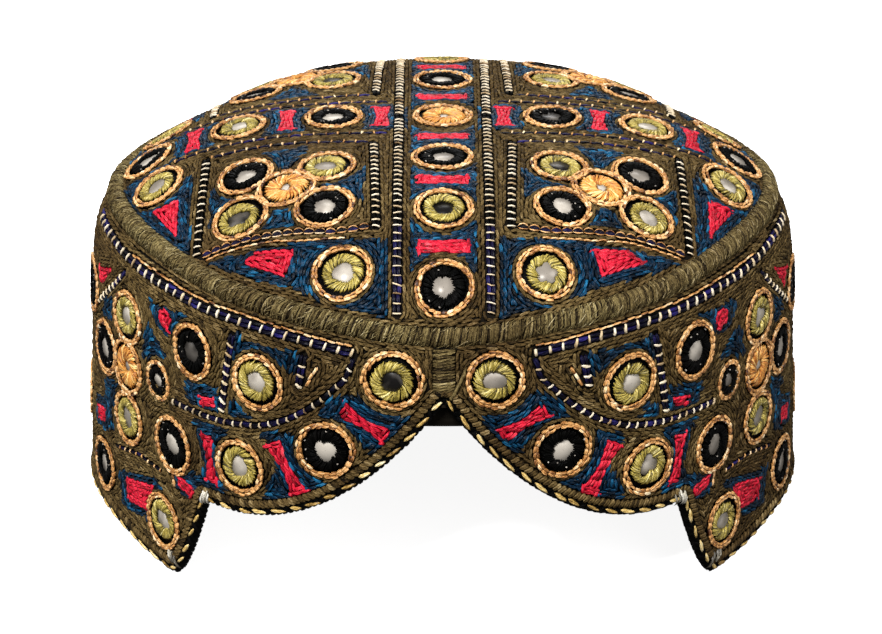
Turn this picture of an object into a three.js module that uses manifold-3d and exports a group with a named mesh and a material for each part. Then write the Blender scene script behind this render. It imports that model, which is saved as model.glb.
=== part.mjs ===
import * as THREE from 'three';
import { mergeVertices } from 'three/addons/utils/BufferGeometryUtils.js';
import Module from 'manifold-3d';

const wasm = await Module();
wasm.setup();

// A stiff embroidered cap with a low domed crown, an upright side band, two half-round lobes
// at the front and a pointed tip beside each. It stands on its hem: +Z up, front at -Y, mm.

// The brow line, where the crown's slope turns into the upright band
const browHalfWidth = 91.2;
const browHalfDepth = 83.8;
const browHeight = 90.7;

// The thick roll that covers the joint of crown and band, just under the brow line
const rollOut = 1.2;
const rollHeight = 88.8;
const rollRadius = 2.8;
const rollSides = 8;
const rollSteps = 44;
// The roll sinks towards the front seam, by dip mm within about reach degrees, and at the
// two sides it lies further in and higher
const rollDip = 3.3;
const rollDipReach = 17;
const rollSideIn = 3.2;
const rollSideRise = 2.6;

// The crown: height above the brow line falls as 1 - r^squareness
const domeRise = 21.5;
const domeSquareness = 3.84;
const crownWall = 2.8;
const rimReach = 1.03;
const rimSideIn = 0.052;

// The side band leans out by flare down to the hem, after a quick bulge below the roll
const bandFlare = 4.0;
const bandBulge = 4.4;
const bulgeReach = 0.06;
// At the two sides its top leans in, up to the roll
const sideLean = 2.4;
const sideRise = 1.4;
const bandWall = 3.0;
// Soft flats and corners of the worn band, as shares of the radius
const fourSides = 0.010;
const sixSides = 0.014;

// The lower edge, angles in degrees from the front seam and heights in mm
const apexHeight = 67.5;
const lobeLow = 27.8;
const lobeEnd = 41;
const lobeSteepness = 2.4;
const tipAngle = 50;
const tipSteepness = 1.65;
const sideArch = 3.2;
const archEnd = 112;

const cordRadius = 1.75;
const cordSides = 6;
const cordStep = 5.9;
const gap = 0.3;

const seamHalfAngle = 2.35;
const bandStart = 2.6;

const tapeHalfAngle = 4.6;
const tapeLow = 59.9;
const tapeHigh = 76;
const tapeWall = 1.2;

// One mirror roundel: a low collar of stitches that dips to the glass in its middle
const roundelRadius = 8.25;
const roundelRim = 7.3;
const roundelProud = 1.2;
const roundelDip = 0.5;
const roundelRoot = 1.1;
const roundelSides = 10;

const degree = Math.PI / 180;
const meanRadius = 94;

// Crown roundels in one quarter, distances from the centre in mm
const crownRoundels = [
  { name: 'centre', across: 0, ahead: 0 },
  { name: 'spine inner', across: 0, ahead: 28.4 },
  { name: 'spine middle', across: 0, ahead: 54.2 },
  { name: 'spine outer', across: 0, ahead: 77.6 },
  { name: 'arm inner', across: 30.5, ahead: 0 },
  { name: 'arm middle', across: 57, ahead: 0 },
  { name: 'arm outer', across: 82.5, ahead: 0 },
  { name: 'square middle', across: 42.3, ahead: 39.5 },
  { name: 'square inner', across: 31.4, ahead: 31.6 },
  { name: 'square side', across: 53.5, ahead: 29.6 },
  { name: 'square corner', across: 54.2, ahead: 46.4 },
  { name: 'square front', across: 31.6, ahead: 50.6 },
  { name: 'wedge front', across: 26.5, ahead: 72.2 },
  { name: 'wedge side', across: 78.3, ahead: 18.2 },
];

// Band roundels in one quarter, angle in degrees from the front or back seam, height in mm
const bandRoundels = [
  { name: 'beside seam', angle: 8.0, height: 74.6 },
  { name: 'half round middle', angle: 30.2, height: 69.0 },
  { name: 'half round outer', angle: 44.5, height: 70.8 },
  { name: 'row one', angle: 18.5, height: 53.2 },
  { name: 'row two', angle: 33.6, height: 42.7 },
  { name: 'row three', angle: 49.7, height: 39.8 },
  { name: 'tip', angle: 52.6, height: 14.5 },
  { name: 'five top', angle: 65, height: 68.5 },
  { name: 'five middle', angle: 64.7, height: 53.9 },
  { name: 'five bottom', angle: 64.4, height: 38.3 },
  { name: 'five outer', angle: 74.1, height: 53.5 },
  { name: 'low side', angle: 74.6, height: 16.6 },
  { name: 'side top', angle: 83.5, height: 66.5 },
  { name: 'side low', angle: 90, height: 29 },
];

const colours = {
  olive: 0x6e5f3c,
  oliveDark: 0x4d4128,
  rope: 0x2b2417,
  lining: 0x6f6354,
};

// 0 at the front and back, 1 at the two sides
function sideShare(angle) {
  return Math.pow(Math.sin(angle * degree), 2);
}

// A point of the band's outer face, moved inwards by depth
function bandPoint(angle, height, depth) {
  const a = angle * degree;
  const lean = sideLean * sideShare(angle);
  const fall = Math.max((browHeight + sideRise * sideShare(angle) - height) / browHeight, 0);
  const bulge = (bandBulge + lean) * (1 - Math.exp(-fall / bulgeReach));
  const out = bandFlare * fall + bulge - lean - depth;
  const m = 1 + fourSides * Math.cos(4 * a) - sixSides * Math.cos(6 * a);
  return new THREE.Vector3(
    (browHalfWidth + out) * m * Math.sin(a), -(browHalfDepth + out) * m * Math.cos(a), height);
}

// The level outward direction of the band
function bandNormal(angle) {
  const before = bandPoint(angle - 1, 40, 0);
  const after = bandPoint(angle + 1, 40, 0);
  return new THREE.Vector3(after.y - before.y, before.x - after.x, 0).normalize();
}

// A point level with the brow line or the roll's centre, out from the brow line
function ringPoint(angle, out, height) {
  const a = angle * degree;
  const m = 1 + fourSides * Math.cos(4 * a) - sixSides * Math.cos(6 * a);
  return new THREE.Vector3(
    (browHalfWidth + out) * m * Math.sin(a), -(browHalfDepth + out) * m * Math.cos(a), height);
}

// The crown's outer face at reach r (0 centre, 1 brow line) towards an angle
function crownPoint(angle, r) {
  const brow = ringPoint(angle, 0, browHeight);
  return new THREE.Vector3(brow.x * r, brow.y * r,
    browHeight + domeRise * (1 - Math.pow(r, domeSquareness)));
}

function crownNormal(angle, r) {
  const step = 0.01;
  const inner = crownPoint(angle, Math.max(r - step, 0));
  const outer = crownPoint(angle, r + step);
  const along = outer.clone().sub(inner).normalize();
  const across = crownPoint(angle + 2, r + step).sub(crownPoint(angle - 2, r + step)).normalize();
  return along.cross(across).normalize();
}

function crownReach(x, y) {
  const angle = Math.atan2(x / browHalfWidth, -y / browHalfDepth) / degree;
  const brow = ringPoint(angle, 0, browHeight);
  return [angle, Math.hypot(x, y) / Math.hypot(brow.x, brow.y)];
}

// Height of the lower edge at an angle from the front seam
function edgeHeight(angle) {
  const t = Math.abs(angle);
  if (t <= lobeEnd) return lobeLow + (apexHeight - lobeLow) * Math.pow(1 - t / lobeEnd, lobeSteepness);
  if (t <= tipAngle) {
    const v = (t - lobeEnd) / (tipAngle - lobeEnd);
    return lobeLow * Math.pow(1 - v, tipSteepness);
  }
  if (t >= archEnd) return 0;
  const u = (t - tipAngle) / (archEnd - tipAngle);
  return sideArch * Math.pow(Math.sin(Math.PI * u), 2);
}

// The lower edge unrolled flat: x along the band, y up, one side from front to back
function flatEdge() {
  const points = [];
  const breaks = [0, lobeEnd, tipAngle, 180];
  const counts = [90, 120, 150];
  for (let part = 0; part < counts.length; part++) {
    for (let i = part ? 1 : 0; i <= counts[part]; i++) {
      const angle = THREE.MathUtils.lerp(breaks[part], breaks[part + 1], i / counts[part]);
      points.push(new THREE.Vector2(angle * degree * meanRadius, edgeHeight(angle)));
    }
  }
  return points;
}

function distanceToLine(point, line) {
  let best = Infinity;
  for (let i = 1; i < line.length; i++) {
    const span = line[i].clone().sub(line[i - 1]);
    const t = THREE.MathUtils.clamp(point.clone().sub(line[i - 1]).dot(span) / span.lengthSq(), 0, 1);
    best = Math.min(best, point.distanceTo(line[i - 1].clone().addScaledVector(span, t)));
  }
  return best;
}

// The edge moved up into the cloth by a distance, turning about the inner corners
function raisedEdge(distance) {
  const line = flatEdge();
  const raised = [];
  let last = Math.PI / 2;
  for (let i = 0; i < line.length; i++) {
    const before = line[Math.max(i - 1, 0)];
    const after = line[Math.min(i + 1, line.length - 1)];
    const along = after.clone().sub(i === line.length - 1 ? before : line[i]);
    const turn = Math.atan2(along.x, -along.y);
    const fan = Math.max(1, Math.ceil(Math.abs(turn - last) / 0.25));
    for (let k = 1; k <= fan; k++) {
      const a = last + (turn - last) * k / fan;
      raised.push(line[i].clone().add(new THREE.Vector2(Math.cos(a), Math.sin(a)).multiplyScalar(distance)));
    }
    last = turn;
  }
  raised.unshift(line[0].clone().add(new THREE.Vector2(0, distance)));
  return raised.filter((p) => distanceToLine(p, line) > distance - 0.02 && p.x >= 0);
}

function heightOn(line, angle) {
  const x = Math.abs(angle) * degree * meanRadius;
  for (let i = 1; i < line.length; i++) {
    if (line[i].x >= x && line[i].x > line[i - 1].x) {
      return THREE.MathUtils.mapLinear(x, line[i - 1].x, line[i].x, line[i - 1].y, line[i].y);
    }
  }
  return line[line.length - 1].y;
}

// Points spaced evenly along a flat line
function evenSteps(line, step) {
  const lengths = [0];
  for (let i = 1; i < line.length; i++) lengths.push(lengths[i - 1] + line[i].distanceTo(line[i - 1]));
  const total = lengths[lengths.length - 1];
  const count = Math.round(total / step);
  const out = [];
  let i = 1;
  for (let k = 0; k <= count; k++) {
    const want = total * k / count;
    while (i < line.length - 1 && lengths[i] < want) i++;
    const share = (want - lengths[i - 1]) / (lengths[i] - lengths[i - 1]);
    out.push(line[i - 1].clone().lerp(line[i], THREE.MathUtils.clamp(share, 0, 1)));
  }
  return out;
}

// A closed body from matching rings of points; open runs get an end cap of crossing quads
function skin(rings, closed) {
  const size = rings[0].length;
  const positions = [];
  for (const ring of rings) for (const p of ring) positions.push(p.x, p.y, p.z);
  const index = [];
  const spans = closed ? rings.length : rings.length - 1;
  for (let i = 0; i < spans; i++) {
    const next = (i + 1) % rings.length;
    for (let j = 0; j < size; j++) {
      const k = (j + 1) % size;
      const [a, b, c, d] = [i * size + j, next * size + j, next * size + k, i * size + k];
      index.push(a, b, c, a, c, d);
    }
  }
  if (!closed) {
    const end = (rings.length - 1) * size;
    for (let j = 0; j < size / 2 - 1; j++) {
      const [a, b, c, d] = [j, j + 1, size - 2 - j, size - 1 - j];
      index.push(a, b, c, a, c, d);
      index.push(end + a, end + c, end + b, end + a, end + d, end + c);
    }
  }
  const geometry = new THREE.BufferGeometry();
  geometry.setAttribute('position', new THREE.Float32BufferAttribute(positions, 3));
  geometry.setIndex(index);
  return welded(geometry);
}

// Shared vertices merged and collapsed triangles dropped
function welded(geometry) {
  geometry.deleteAttribute('normal');
  geometry.deleteAttribute('uv');
  const merged = mergeVertices(geometry, 1e-4);
  const kept = [];
  const index = merged.index.array;
  for (let i = 0; i < index.length; i += 3) {
    const [a, b, c] = [index[i], index[i + 1], index[i + 2]];
    if (a !== b && b !== c && c !== a) kept.push(a, b, c);
  }
  merged.setIndex(kept);
  return merged;
}

function toSolid(geometry) {
  return new wasm.Manifold(new wasm.Mesh({
    numProp: 3,
    vertProperties: new Float32Array(geometry.attributes.position.array),
    triVerts: new Uint32Array(geometry.index.array),
  }));
}

function fromSolid(solid) {
  const mesh = solid.getMesh();
  const geometry = new THREE.BufferGeometry();
  geometry.setAttribute('position', new THREE.BufferAttribute(new Float32Array(mesh.vertProperties), 3));
  geometry.setIndex(new THREE.BufferAttribute(new Uint32Array(mesh.triVerts), 1));
  return geometry;
}

// A curved strip of the band between two heights, one ring of points for each angle
function bandStrip(angles, lowAt, highAt, depth, wall, rows) {
  const rings = angles.map((angle) => {
    const low = lowAt(angle);
    const high = highAt(angle);
    const ring = [];
    for (const share of rows) ring.push(bandPoint(angle, low + (high - low) * share, depth));
    for (const share of [...rows].reverse()) {
      ring.push(bandPoint(angle, low + (high - low) * share, depth + wall));
    }
    return ring;
  });
  return skin(rings, false);
}

// One roundel standing on a point, its axis along the outward normal
function roundel(point, normal) {
  const turn = new THREE.Quaternion().setFromUnitVectors(new THREE.Vector3(0, 1, 0), normal);
  const rootRadius = roundelRadius + (roundelRadius - roundelRim) * roundelRoot / roundelProud;
  const profile = [
    [0, -roundelRoot], [rootRadius, -roundelRoot],
    [roundelRim, roundelProud], [0, roundelProud - roundelDip],
  ].map(([r, h]) => new THREE.Vector2(r, h));
  const geometry = new THREE.LatheGeometry(profile, roundelSides);
  geometry.applyQuaternion(turn);
  geometry.translate(point.x, point.y, point.z);
  return toSolid(welded(geometry));
}

// Both signs of a distance, once when it is zero
function signs(value) {
  return value === 0 ? [1] : [1, -1];
}

function crownRoundelSolids() {
  const solids = [];
  for (const row of crownRoundels) {
    for (const sx of signs(row.across)) {
      for (const sy of signs(row.ahead)) {
        const [angle, r] = crownReach(row.across * sx, -row.ahead * sy);
        solids.push(roundel(crownPoint(angle, r), crownNormal(angle, r)));
      }
    }
  }
  return solids;
}

function bandRoundelSolids() {
  const solids = [];
  for (const row of bandRoundels) {
    const angles = row.angle === 90
      ? [90, 270] : [row.angle, 180 - row.angle, 180 + row.angle, 360 - row.angle];
    for (const angle of angles) {
      solids.push(roundel(bandPoint(angle, row.height, 0), bandNormal(angle)));
    }
  }
  return solids;
}

function makeCrown() {
  const inside = [0, 0.32, 0.58, 0.78, 0.92];
  const steps = 36;
  const rings = [];
  for (let i = 0; i < steps; i++) {
    const angle = 360 * i / steps;
    const reaches = [...inside, rimReach - rimSideIn * sideShare(angle)];
    const outer = reaches.map((r) => crownPoint(angle, r));
    const inner = reaches.map((r) => (r === 0
      ? crownPoint(angle, 0).setZ(browHeight + domeRise - crownWall)
      : crownPoint(angle, r).addScaledVector(crownNormal(angle, r), -crownWall)));
    rings.push([...inner, ...outer.reverse()]);
  }
  const shell = toSolid(skin(rings, true));
  return fromSolid(wasm.Manifold.union([shell, ...crownRoundelSolids()]).subtract(rollSeat()));
}

function bandAngles() {
  const half = [bandStart, 4, 6.4, 9.5, 13.5, 19.5, 26.5, 34, 41,
    42.2, 43.2, 43.9, 45, 46.8, 49.2, 52.5, 59, 66, 73.5];
  const back = [];
  for (let angle = 81; angle < 180; angle += 8.1) back.push(angle);
  const side = [...half, ...back];
  return [...side, 180, ...[...side].reverse().map((angle) => 360 - angle)];
}

// Height of the roll's centre, and of the band's upper edge under it
function rollCentre(angle) {
  const fromSeam = angle > 180 ? angle - 360 : angle;
  return rollHeight + rollSideRise * sideShare(angle)
    - rollDip * Math.exp(-Math.pow(fromSeam / rollDipReach, 2));
}

function bandTop(angle) {
  return rollCentre(angle) - rollRadius - gap - 0.1;
}

function makeBand() {
  const lower = raisedEdge(2 * cordRadius + 2 * gap);
  const lowAt = (angle) => heightOn(lower, angle > 180 ? angle - 360 : angle);
  const strip = bandStrip(bandAngles(), lowAt, bandTop, 0, bandWall, [0, 0.45, 0.85, 1]);
  return fromSolid(wasm.Manifold.union([toSolid(strip), ...bandRoundelSolids()]).subtract(rollSeat()));
}

function makeRoll(radius) {
  const rings = [];
  for (let i = 0; i < rollSteps; i++) {
    const angle = 360 * i / rollSteps;
    const centre = ringPoint(angle, rollOut - rollSideIn * sideShare(angle), rollCentre(angle));
    const normal = bandNormal(angle);
    const ring = [];
    for (let j = 0; j < rollSides; j++) {
      const a = 2 * Math.PI * (j + 0.5) / rollSides;
      ring.push(centre.clone().addScaledVector(normal, Math.sin(a) * radius)
        .add(new THREE.Vector3(0, 0, -Math.cos(a) * radius)));
    }
    rings.push(ring);
  }
  return skin(rings, true);
}

// The room the roll takes in crown and band
function rollSeat() {
  return toSolid(makeRoll(rollRadius + gap));
}

// A six-sided cord laid along the whole lower edge, with a flat towards the open side
function makeCord() {
  const half = evenSteps(raisedEdge(cordRadius), cordStep);
  const backwards = half.slice(1, -1).reverse().map((p) => new THREE.Vector2(-p.x, p.y));
  const flat = [...half, ...backwards];
  const middle = flat.map((p) => bandPoint(p.x / meanRadius / degree, p.y, bandWall / 2));
  const corner = cordRadius / Math.cos(Math.PI / cordSides);
  const rings = middle.map((centre, i) => {
    const before = middle[(i + middle.length - 1) % middle.length];
    const after = middle[(i + 1) % middle.length];
    const along = after.clone().sub(before).normalize();
    const out = bandNormal(flat[i].x / meanRadius / degree);
    const down = along.clone().cross(out).normalize();
    const ring = [];
    for (let j = 0; j < cordSides; j++) {
      const a = 2 * Math.PI * (j + 0.5) / cordSides;
      ring.push(centre.clone().addScaledVector(down, Math.cos(a) * corner)
        .addScaledVector(out, Math.sin(a) * corner));
    }
    return ring;
  });
  return skin(rings, true);
}

function makeSeam() {
  const low = apexHeight + 2 * cordRadius + gap;
  const rows = [0, 0.5, 0.85, 1];
  return bandStrip([-seamHalfAngle, 0, seamHalfAngle], () => low, bandTop, -0.2, bandWall, rows);
}

// The lining's folded edge, seen in the gap under the front seam
function makeTape() {
  const angles = [-tapeHalfAngle, -tapeHalfAngle / 3, tapeHalfAngle / 3, tapeHalfAngle];
  const depth = bandWall / 2 + cordRadius / Math.cos(Math.PI / cordSides) + gap;
  return bandStrip(angles, () => tapeLow, () => tapeHigh, depth, tapeWall, [0, 0.5, 1]);
}

// The bounding box's middle, not the middle of the ellipse, is the origin
const middleShift = 1.33;

const cap = new THREE.Group();
cap.position.y = -middleShift;

function addPiece(name, geometry, colour, roughness) {
  const flat = geometry.toNonIndexed();
  flat.computeVertexNormals();
  const mesh = new THREE.Mesh(flat, new THREE.MeshStandardMaterial({ color: colour, roughness, metalness: 0 }));
  mesh.name = name;
  cap.add(mesh);
}

addPiece('crown_panel', makeCrown(), colours.olive, 0.85);
addPiece('side_band', makeBand(), colours.olive, 0.85);
addPiece('edge_roll', makeRoll(rollRadius), colours.oliveDark, 0.8);
addPiece('front_seam', makeSeam(), colours.oliveDark, 0.8);
addPiece('hem_cord', makeCord(), colours.rope, 0.7);
addPiece('notch_lining', makeTape(), colours.lining, 0.9);

export default cap;
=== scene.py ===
import bpy
import numpy as np
from mathutils import Matrix, Vector


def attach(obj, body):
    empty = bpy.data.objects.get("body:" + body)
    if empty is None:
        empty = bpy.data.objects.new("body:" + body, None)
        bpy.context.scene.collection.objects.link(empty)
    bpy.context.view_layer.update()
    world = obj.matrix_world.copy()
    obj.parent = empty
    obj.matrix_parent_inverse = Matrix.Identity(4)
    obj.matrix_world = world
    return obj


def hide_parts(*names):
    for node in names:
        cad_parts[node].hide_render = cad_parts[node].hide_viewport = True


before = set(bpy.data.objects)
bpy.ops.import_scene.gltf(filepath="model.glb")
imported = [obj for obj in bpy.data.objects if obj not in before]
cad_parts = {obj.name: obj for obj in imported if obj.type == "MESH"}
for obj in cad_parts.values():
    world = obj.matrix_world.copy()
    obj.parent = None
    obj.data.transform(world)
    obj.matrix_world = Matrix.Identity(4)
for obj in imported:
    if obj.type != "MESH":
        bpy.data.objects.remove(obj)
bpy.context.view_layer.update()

print("frame loaded")

# All lengths are mm from the middle of the brow ring, and angles are degrees from the front seam.
# The shape of the cap, the same numbers that its solids were made with
cap = {"browHalfWidth": 91.2, "browHalfDepth": 83.8, "browHeight": 90.7, "domeRise": 21.5,
       "domeSquareness": 3.84, "flare": 4.0, "bulge": 4.4, "bulgeReach": 0.06, "sideLean": 2.4,
       "sideRise": 1.4, "fourSides": 0.010, "sixSides": 0.014, "middleShift": 1.33}
roll = {"out": 1.2, "height": 88.8, "radius": 2.8, "dip": 3.3, "dipReach": 17,
        "sideIn": 3.2, "sideRise": 2.6, "wrapPitch": 0.5, "threadHalf": 0.32, "fibres": 2400}
edge = {"apexHeight": 67.5, "lobeLow": 27.8, "lobeEnd": 41, "lobeSteepness": 2.4, "tipAngle": 50,
        "tipSteepness": 1.65, "sideArch": 3.2, "archEnd": 112, "flatRadius": 94}
# Filling rows: stitch length and spacing along a row, distance between rows, lean of a stitch, the
# most rows from one boundary, and how far past the middle between two boundaries a row may lie
rows = {"pitch": 0.97, "spacing": 2.7, "length": 4.1, "half": 0.5, "rise": 0.60, "lean": 0.16,
        "most": 30, "meet": 0.42}
# Roundels: the circle that the rows leave free, the chain round it and its links, sides of the collar,
# corners of the glass, and the painted glints on each black one. small: scale, depth, and how far up and in
# its free circle lies
mirrors = {"radius": 8.25, "ring": 7.35, "links": 25, "chainHalf": 0.5, "sides": 24, "corners": 11,
           "paintedGlints": 5, "smallSize": 0.7, "smallSunk": 0.45, "smallUp": 2.2, "smallIn": 1.7}
# Seeds of the random draws, one for each kind of sewing
seeds = {"crownRows": 11, "bandRows": 12, "crownRoundels": 30, "bandRoundels": 40, "smallRoundels": 50,
         "roll": 51, "seam": 52, "rope": 53, "braid": 54, "ties": 55, "dashes": 56, "bandLadders": 100}


# Length along a line up to each of its points
def lengthAlong(line):
    return np.append(0, np.cumsum(np.linalg.norm(np.diff(line, axis=0), axis=1)))


# The points of a line at given lengths along it
def pointsAt(line, length, at):
    return np.stack([np.interp(at, length, line[:, i]) for i in range(line.shape[1])], -1)


# The direction a quarter turn to the left of each flat one
def leftOf(along):
    return np.stack([-along[:, 1], along[:, 0]], -1)


# Evenly spread turns of a full circle
def turnsOf(sides):
    return 2 * np.pi * np.arange(sides) / sides


# 0 at the front and back, 1 at the two sides: sine of the angle, squared
def sideShare(angle):
    return np.sin(np.radians(angle)) ** 2


# The brow ellipse grown by out, times 1 + a cos 4t - b cos 6t, at a height
def ringPoint(angle, out, height):
    t = np.radians(angle)
    soft = 1 + cap["fourSides"] * np.cos(4 * t) - cap["sixSides"] * np.cos(6 * t)
    x = (cap["browHalfWidth"] + out) * soft * np.sin(t)
    y = -(cap["browHalfDepth"] + out) * soft * np.cos(t)
    return np.stack(np.broadcast_arrays(x, y, height), -1)


# The ring grown by flare times the fall below the brow, and by a bulge that settles quickly
def bandPoint(angle, height):
    lean = cap["sideLean"] * sideShare(angle)
    fall = np.maximum((cap["browHeight"] + cap["sideRise"] * sideShare(angle) - height)
                      / cap["browHeight"], 0)
    out = cap["flare"] * fall + (cap["bulge"] + lean) * (1 - np.exp(-fall / cap["bulgeReach"])) - lean
    return ringPoint(angle, out, height)


angleTable = np.linspace(-200, 400, 4801)
middleLine = bandPoint(angleTable, 50.0)
acrossTable = lengthAlong(middleLine)
acrossTable -= np.interp(0, angleTable, acrossTable)


# The band unrolled: mm along it from the front seam, and height
def bandFlat(points):
    points = np.asarray(points, float)
    return np.stack([np.interp(points[..., 0], angleTable, acrossTable), points[..., 1]], -1)


def bandSurface(flat):
    return bandPoint(np.interp(flat[..., 0], acrossTable, angleTable), flat[..., 1])


reachTable = np.linspace(0, 1.2, 601)
meanBrow = (cap["browHalfWidth"] + cap["browHalfDepth"]) / 2
crownSlope = cap["domeRise"] * cap["domeSquareness"] / meanBrow * reachTable ** (cap["domeSquareness"] - 1)
unrollTable = np.concatenate([[0], np.cumsum(np.hypot(1, (crownSlope[1:] + crownSlope[:-1]) / 2)
                                             * np.diff(reachTable))])


def browLength(points):
    angle = np.degrees(np.arctan2(points[..., 0] / cap["browHalfWidth"],
                                  -points[..., 1] / cap["browHalfDepth"]))
    return np.linalg.norm(ringPoint(angle, 0, 0.0)[..., :2], axis=-1)


# The crown unrolled: each plan point moved out to its distance along the slope
def crownFlat(points):
    points = np.asarray(points, float)
    reach = np.linalg.norm(points, axis=-1) / browLength(points)
    stretch = np.interp(reach, reachTable, unrollTable) / np.maximum(reach, 1e-6)
    return points * np.where(reach < 1e-5, 1, stretch)[..., None]


# Height above the brow falls as 1 - reach to the power squareness
def crownSurface(flat):
    length = browLength(flat)
    far = np.linalg.norm(flat, axis=-1) / length
    reach = np.interp(far, unrollTable, reachTable)
    plan = flat * np.where(far < 1e-5, 1, reach / np.maximum(far, 1e-6))[..., None]
    height = cap["browHeight"] + cap["domeRise"] * (1 - reach ** cap["domeSquareness"])
    return np.concatenate([plan, height[..., None]], -1)


def crownReach(flat):
    return np.interp(np.linalg.norm(flat, axis=-1) / browLength(flat), unrollTable, reachTable)


def unit(vectors):
    return vectors / np.maximum(np.linalg.norm(vectors, axis=-1, keepdims=True), 1e-9)


# Points a height above an unrolled surface, and the outward normals, from small steps both ways
def lift(surface, flat, height):
    step = 0.12
    across = surface(flat + [step, 0]) - surface(flat - [step, 0])
    up = surface(flat + [0, step]) - surface(flat - [0, step])
    normal = unit(np.cross(across, up))
    return surface(flat) + normal * np.asarray(height)[..., None], normal


def rollCentre(angle):
    turned = (np.asarray(angle, float) + 180) % 360 - 180
    height = (roll["height"] + roll["sideRise"] * sideShare(turned)
              - roll["dip"] * np.exp(-(turned / roll["dipReach"]) ** 2))
    return ringPoint(turned, roll["out"] - roll["sideIn"] * sideShare(turned), height)


# Height of the lower edge: a steep fall from the notch to the lobe, a drop to the tip, a low arch
def edgeHeight(angle):
    t = np.abs(angle)
    lobe = edge["lobeLow"] + ((edge["apexHeight"] - edge["lobeLow"])
                              * np.clip(1 - t / edge["lobeEnd"], 0, 1) ** edge["lobeSteepness"])
    v = np.clip((t - edge["lobeEnd"]) / (edge["tipAngle"] - edge["lobeEnd"]), 0, 1)
    tip = edge["lobeLow"] * (1 - v) ** edge["tipSteepness"]
    u = np.clip((t - edge["tipAngle"]) / (edge["archEnd"] - edge["tipAngle"]), 0, 1)
    arch = edge["sideArch"] * np.sin(np.pi * u) ** 2
    return np.where(t <= edge["lobeEnd"], lobe, np.where(t <= edge["tipAngle"], tip, arch))


# Distance from points to the nearest of the straight pieces (x1, y1, x2, y2, half width)
def nearest(points, pieces):
    best = np.full(len(points), 1e9)
    for x1, y1, x2, y2, half in pieces:
        span = np.array([x2 - x1, y2 - y1])
        start = points - [x1, y1]
        share = np.clip(start @ span / max(span @ span, 1e-9), 0, 1)
        best = np.minimum(best, np.hypot(*(start - share[:, None] * span).T) - half)
    return best


# The lower edge on one side moved into the cloth by a distance, with fans about inner corners
def raisedEdge(distance):
    breaks = [edge["lobeEnd"] * np.linspace(0, 1, 121),
              edge["lobeEnd"] + (edge["tipAngle"] - edge["lobeEnd"]) * np.linspace(0, 1, 121)[1:],
              edge["tipAngle"] + (180 - edge["tipAngle"]) * np.linspace(0, 1, 121)[1:]]
    angle = np.concatenate(breaks)
    line = np.stack([np.radians(angle) * edge["flatRadius"], edgeHeight(angle)], -1)
    span = np.diff(line, axis=0)
    turn = np.unwrap(np.arctan2(span[:, 0], -span[:, 1]))
    before, after = np.append(np.pi / 2, turn), np.append(turn, turn[-1])
    normal = before[:, None] + (after - before)[:, None] * np.linspace(0, 1, 9)[1:]
    raised = (line[:, None] + distance * np.stack([np.cos(normal), np.sin(normal)], -1)).reshape(-1, 2)
    pieces = np.hstack([line[:-1], line[1:], np.zeros((len(line) - 1, 1))])
    kept = raised[(nearest(raised, pieces) > distance - 0.03) & (raised[:, 0] >= 0)]
    kept = np.vstack([[line[0] + [0, distance]], kept])
    return bandFlat(np.stack([np.degrees(kept[:, 0] / edge["flatRadius"]), kept[:, 1]], -1))


# Evenly spaced points along a line, and the direction there
def evenly(line, step):
    length = lengthAlong(line)
    count = max(int(round(length[-1] / step)), 1)
    at = (np.arange(count) + 0.5) * length[-1] / count
    behind, ahead = [pointsAt(line, length, np.clip(at + s, 0, length[-1])) for s in (-0.4, 0.4)]
    return pointsAt(line, length, at), unit(ahead - behind)


sewn = {}


# Adds a mesh to a piece, with zeros for marks where none are given
def addBlock(piece, points, faces, marks=None):
    marks = np.zeros(points.shape) if marks is None else marks
    sewn.setdefault(piece, []).append((points.reshape(-1, 3), faces, marks.reshape(-1, 3)))


# The same triangles for each of many like meshes that follow one another
def repeated(faces, count, each):
    return (faces[None] + (np.arange(count) * each)[:, None, None]).reshape(-1, 3)


# Adds threads to a piece. Each path (threads, stations, 3) gets a four-cornered section, flat
# side down, at every station but the two ends, where it runs to a point.
def sew(piece, path, up, half, rise, tone):
    count, stations = path.shape[:2]
    along = unit(np.gradient(path, axis=1))
    up = unit(up - along * (up * along).sum(-1, keepdims=True))
    side = np.cross(along, up)
    inner = slice(1, stations - 1)
    half, rise = [np.broadcast_to(v, (count, stations))[:, inner, None] for v in (half, rise)]
    across, high = np.array([-1, -0.55, 0.55, 1]), np.array([0, 1, 1, 0])
    section = (path[:, inner, None] + side[:, inner, None] * (half * across)[..., None]
               + up[:, inner, None] * (rise * high)[..., None])
    points = np.concatenate([path[:, :1], section.reshape(count, -1, 3), path[:, -1:]], 1)
    length = np.pad(np.cumsum(np.linalg.norm(np.diff(path, axis=1), axis=-1), 1), ((0, 0), (1, 0)))
    marks = np.zeros(points.shape)
    marks[:, 1:-1, 0] = np.repeat(length[:, inner], 4, axis=1)
    marks[:, -1, 0] = length[:, -1]
    marks[:, 1:-1, 1] = np.tile([0, 0.33, 0.67, 1], stations - 2)
    marks[..., 2] = np.broadcast_to(tone, (count,))[:, None]
    c = np.arange(4)
    n = (c + 1) % 4
    j = 1 + 4 * np.arange(stations - 3)[:, None]
    last = 1 + 4 * (stations - 3)
    end = 1 + 4 * (stations - 2)
    faces = np.concatenate([
        np.stack([0 * c, 1 + n, 1 + c], -1),
        np.stack([j + c, j + n, j + n + 4], -1).reshape(-1, 3),
        np.stack([j + c, j + n + 4, j + c + 4], -1).reshape(-1, 3),
        np.stack([last + c, last + n, 0 * c + end], -1)])
    addBlock(piece, points, repeated(faces, count, points.shape[1]), marks)


# Stitches on an unrolled surface: flat paths (threads, stations, 2) lifted off it
def stitch(piece, surface, flat, height, half, rise, tone):
    path, up = lift(surface, flat, np.broadcast_to(height, flat.shape[:2]))
    sew(piece, path, up, half, rise, tone)


# The usual swell of a stitch of five stations: full in the middle, a point at each end
swell = np.array([0, 0.9, 1, 0.9, 0])


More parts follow.
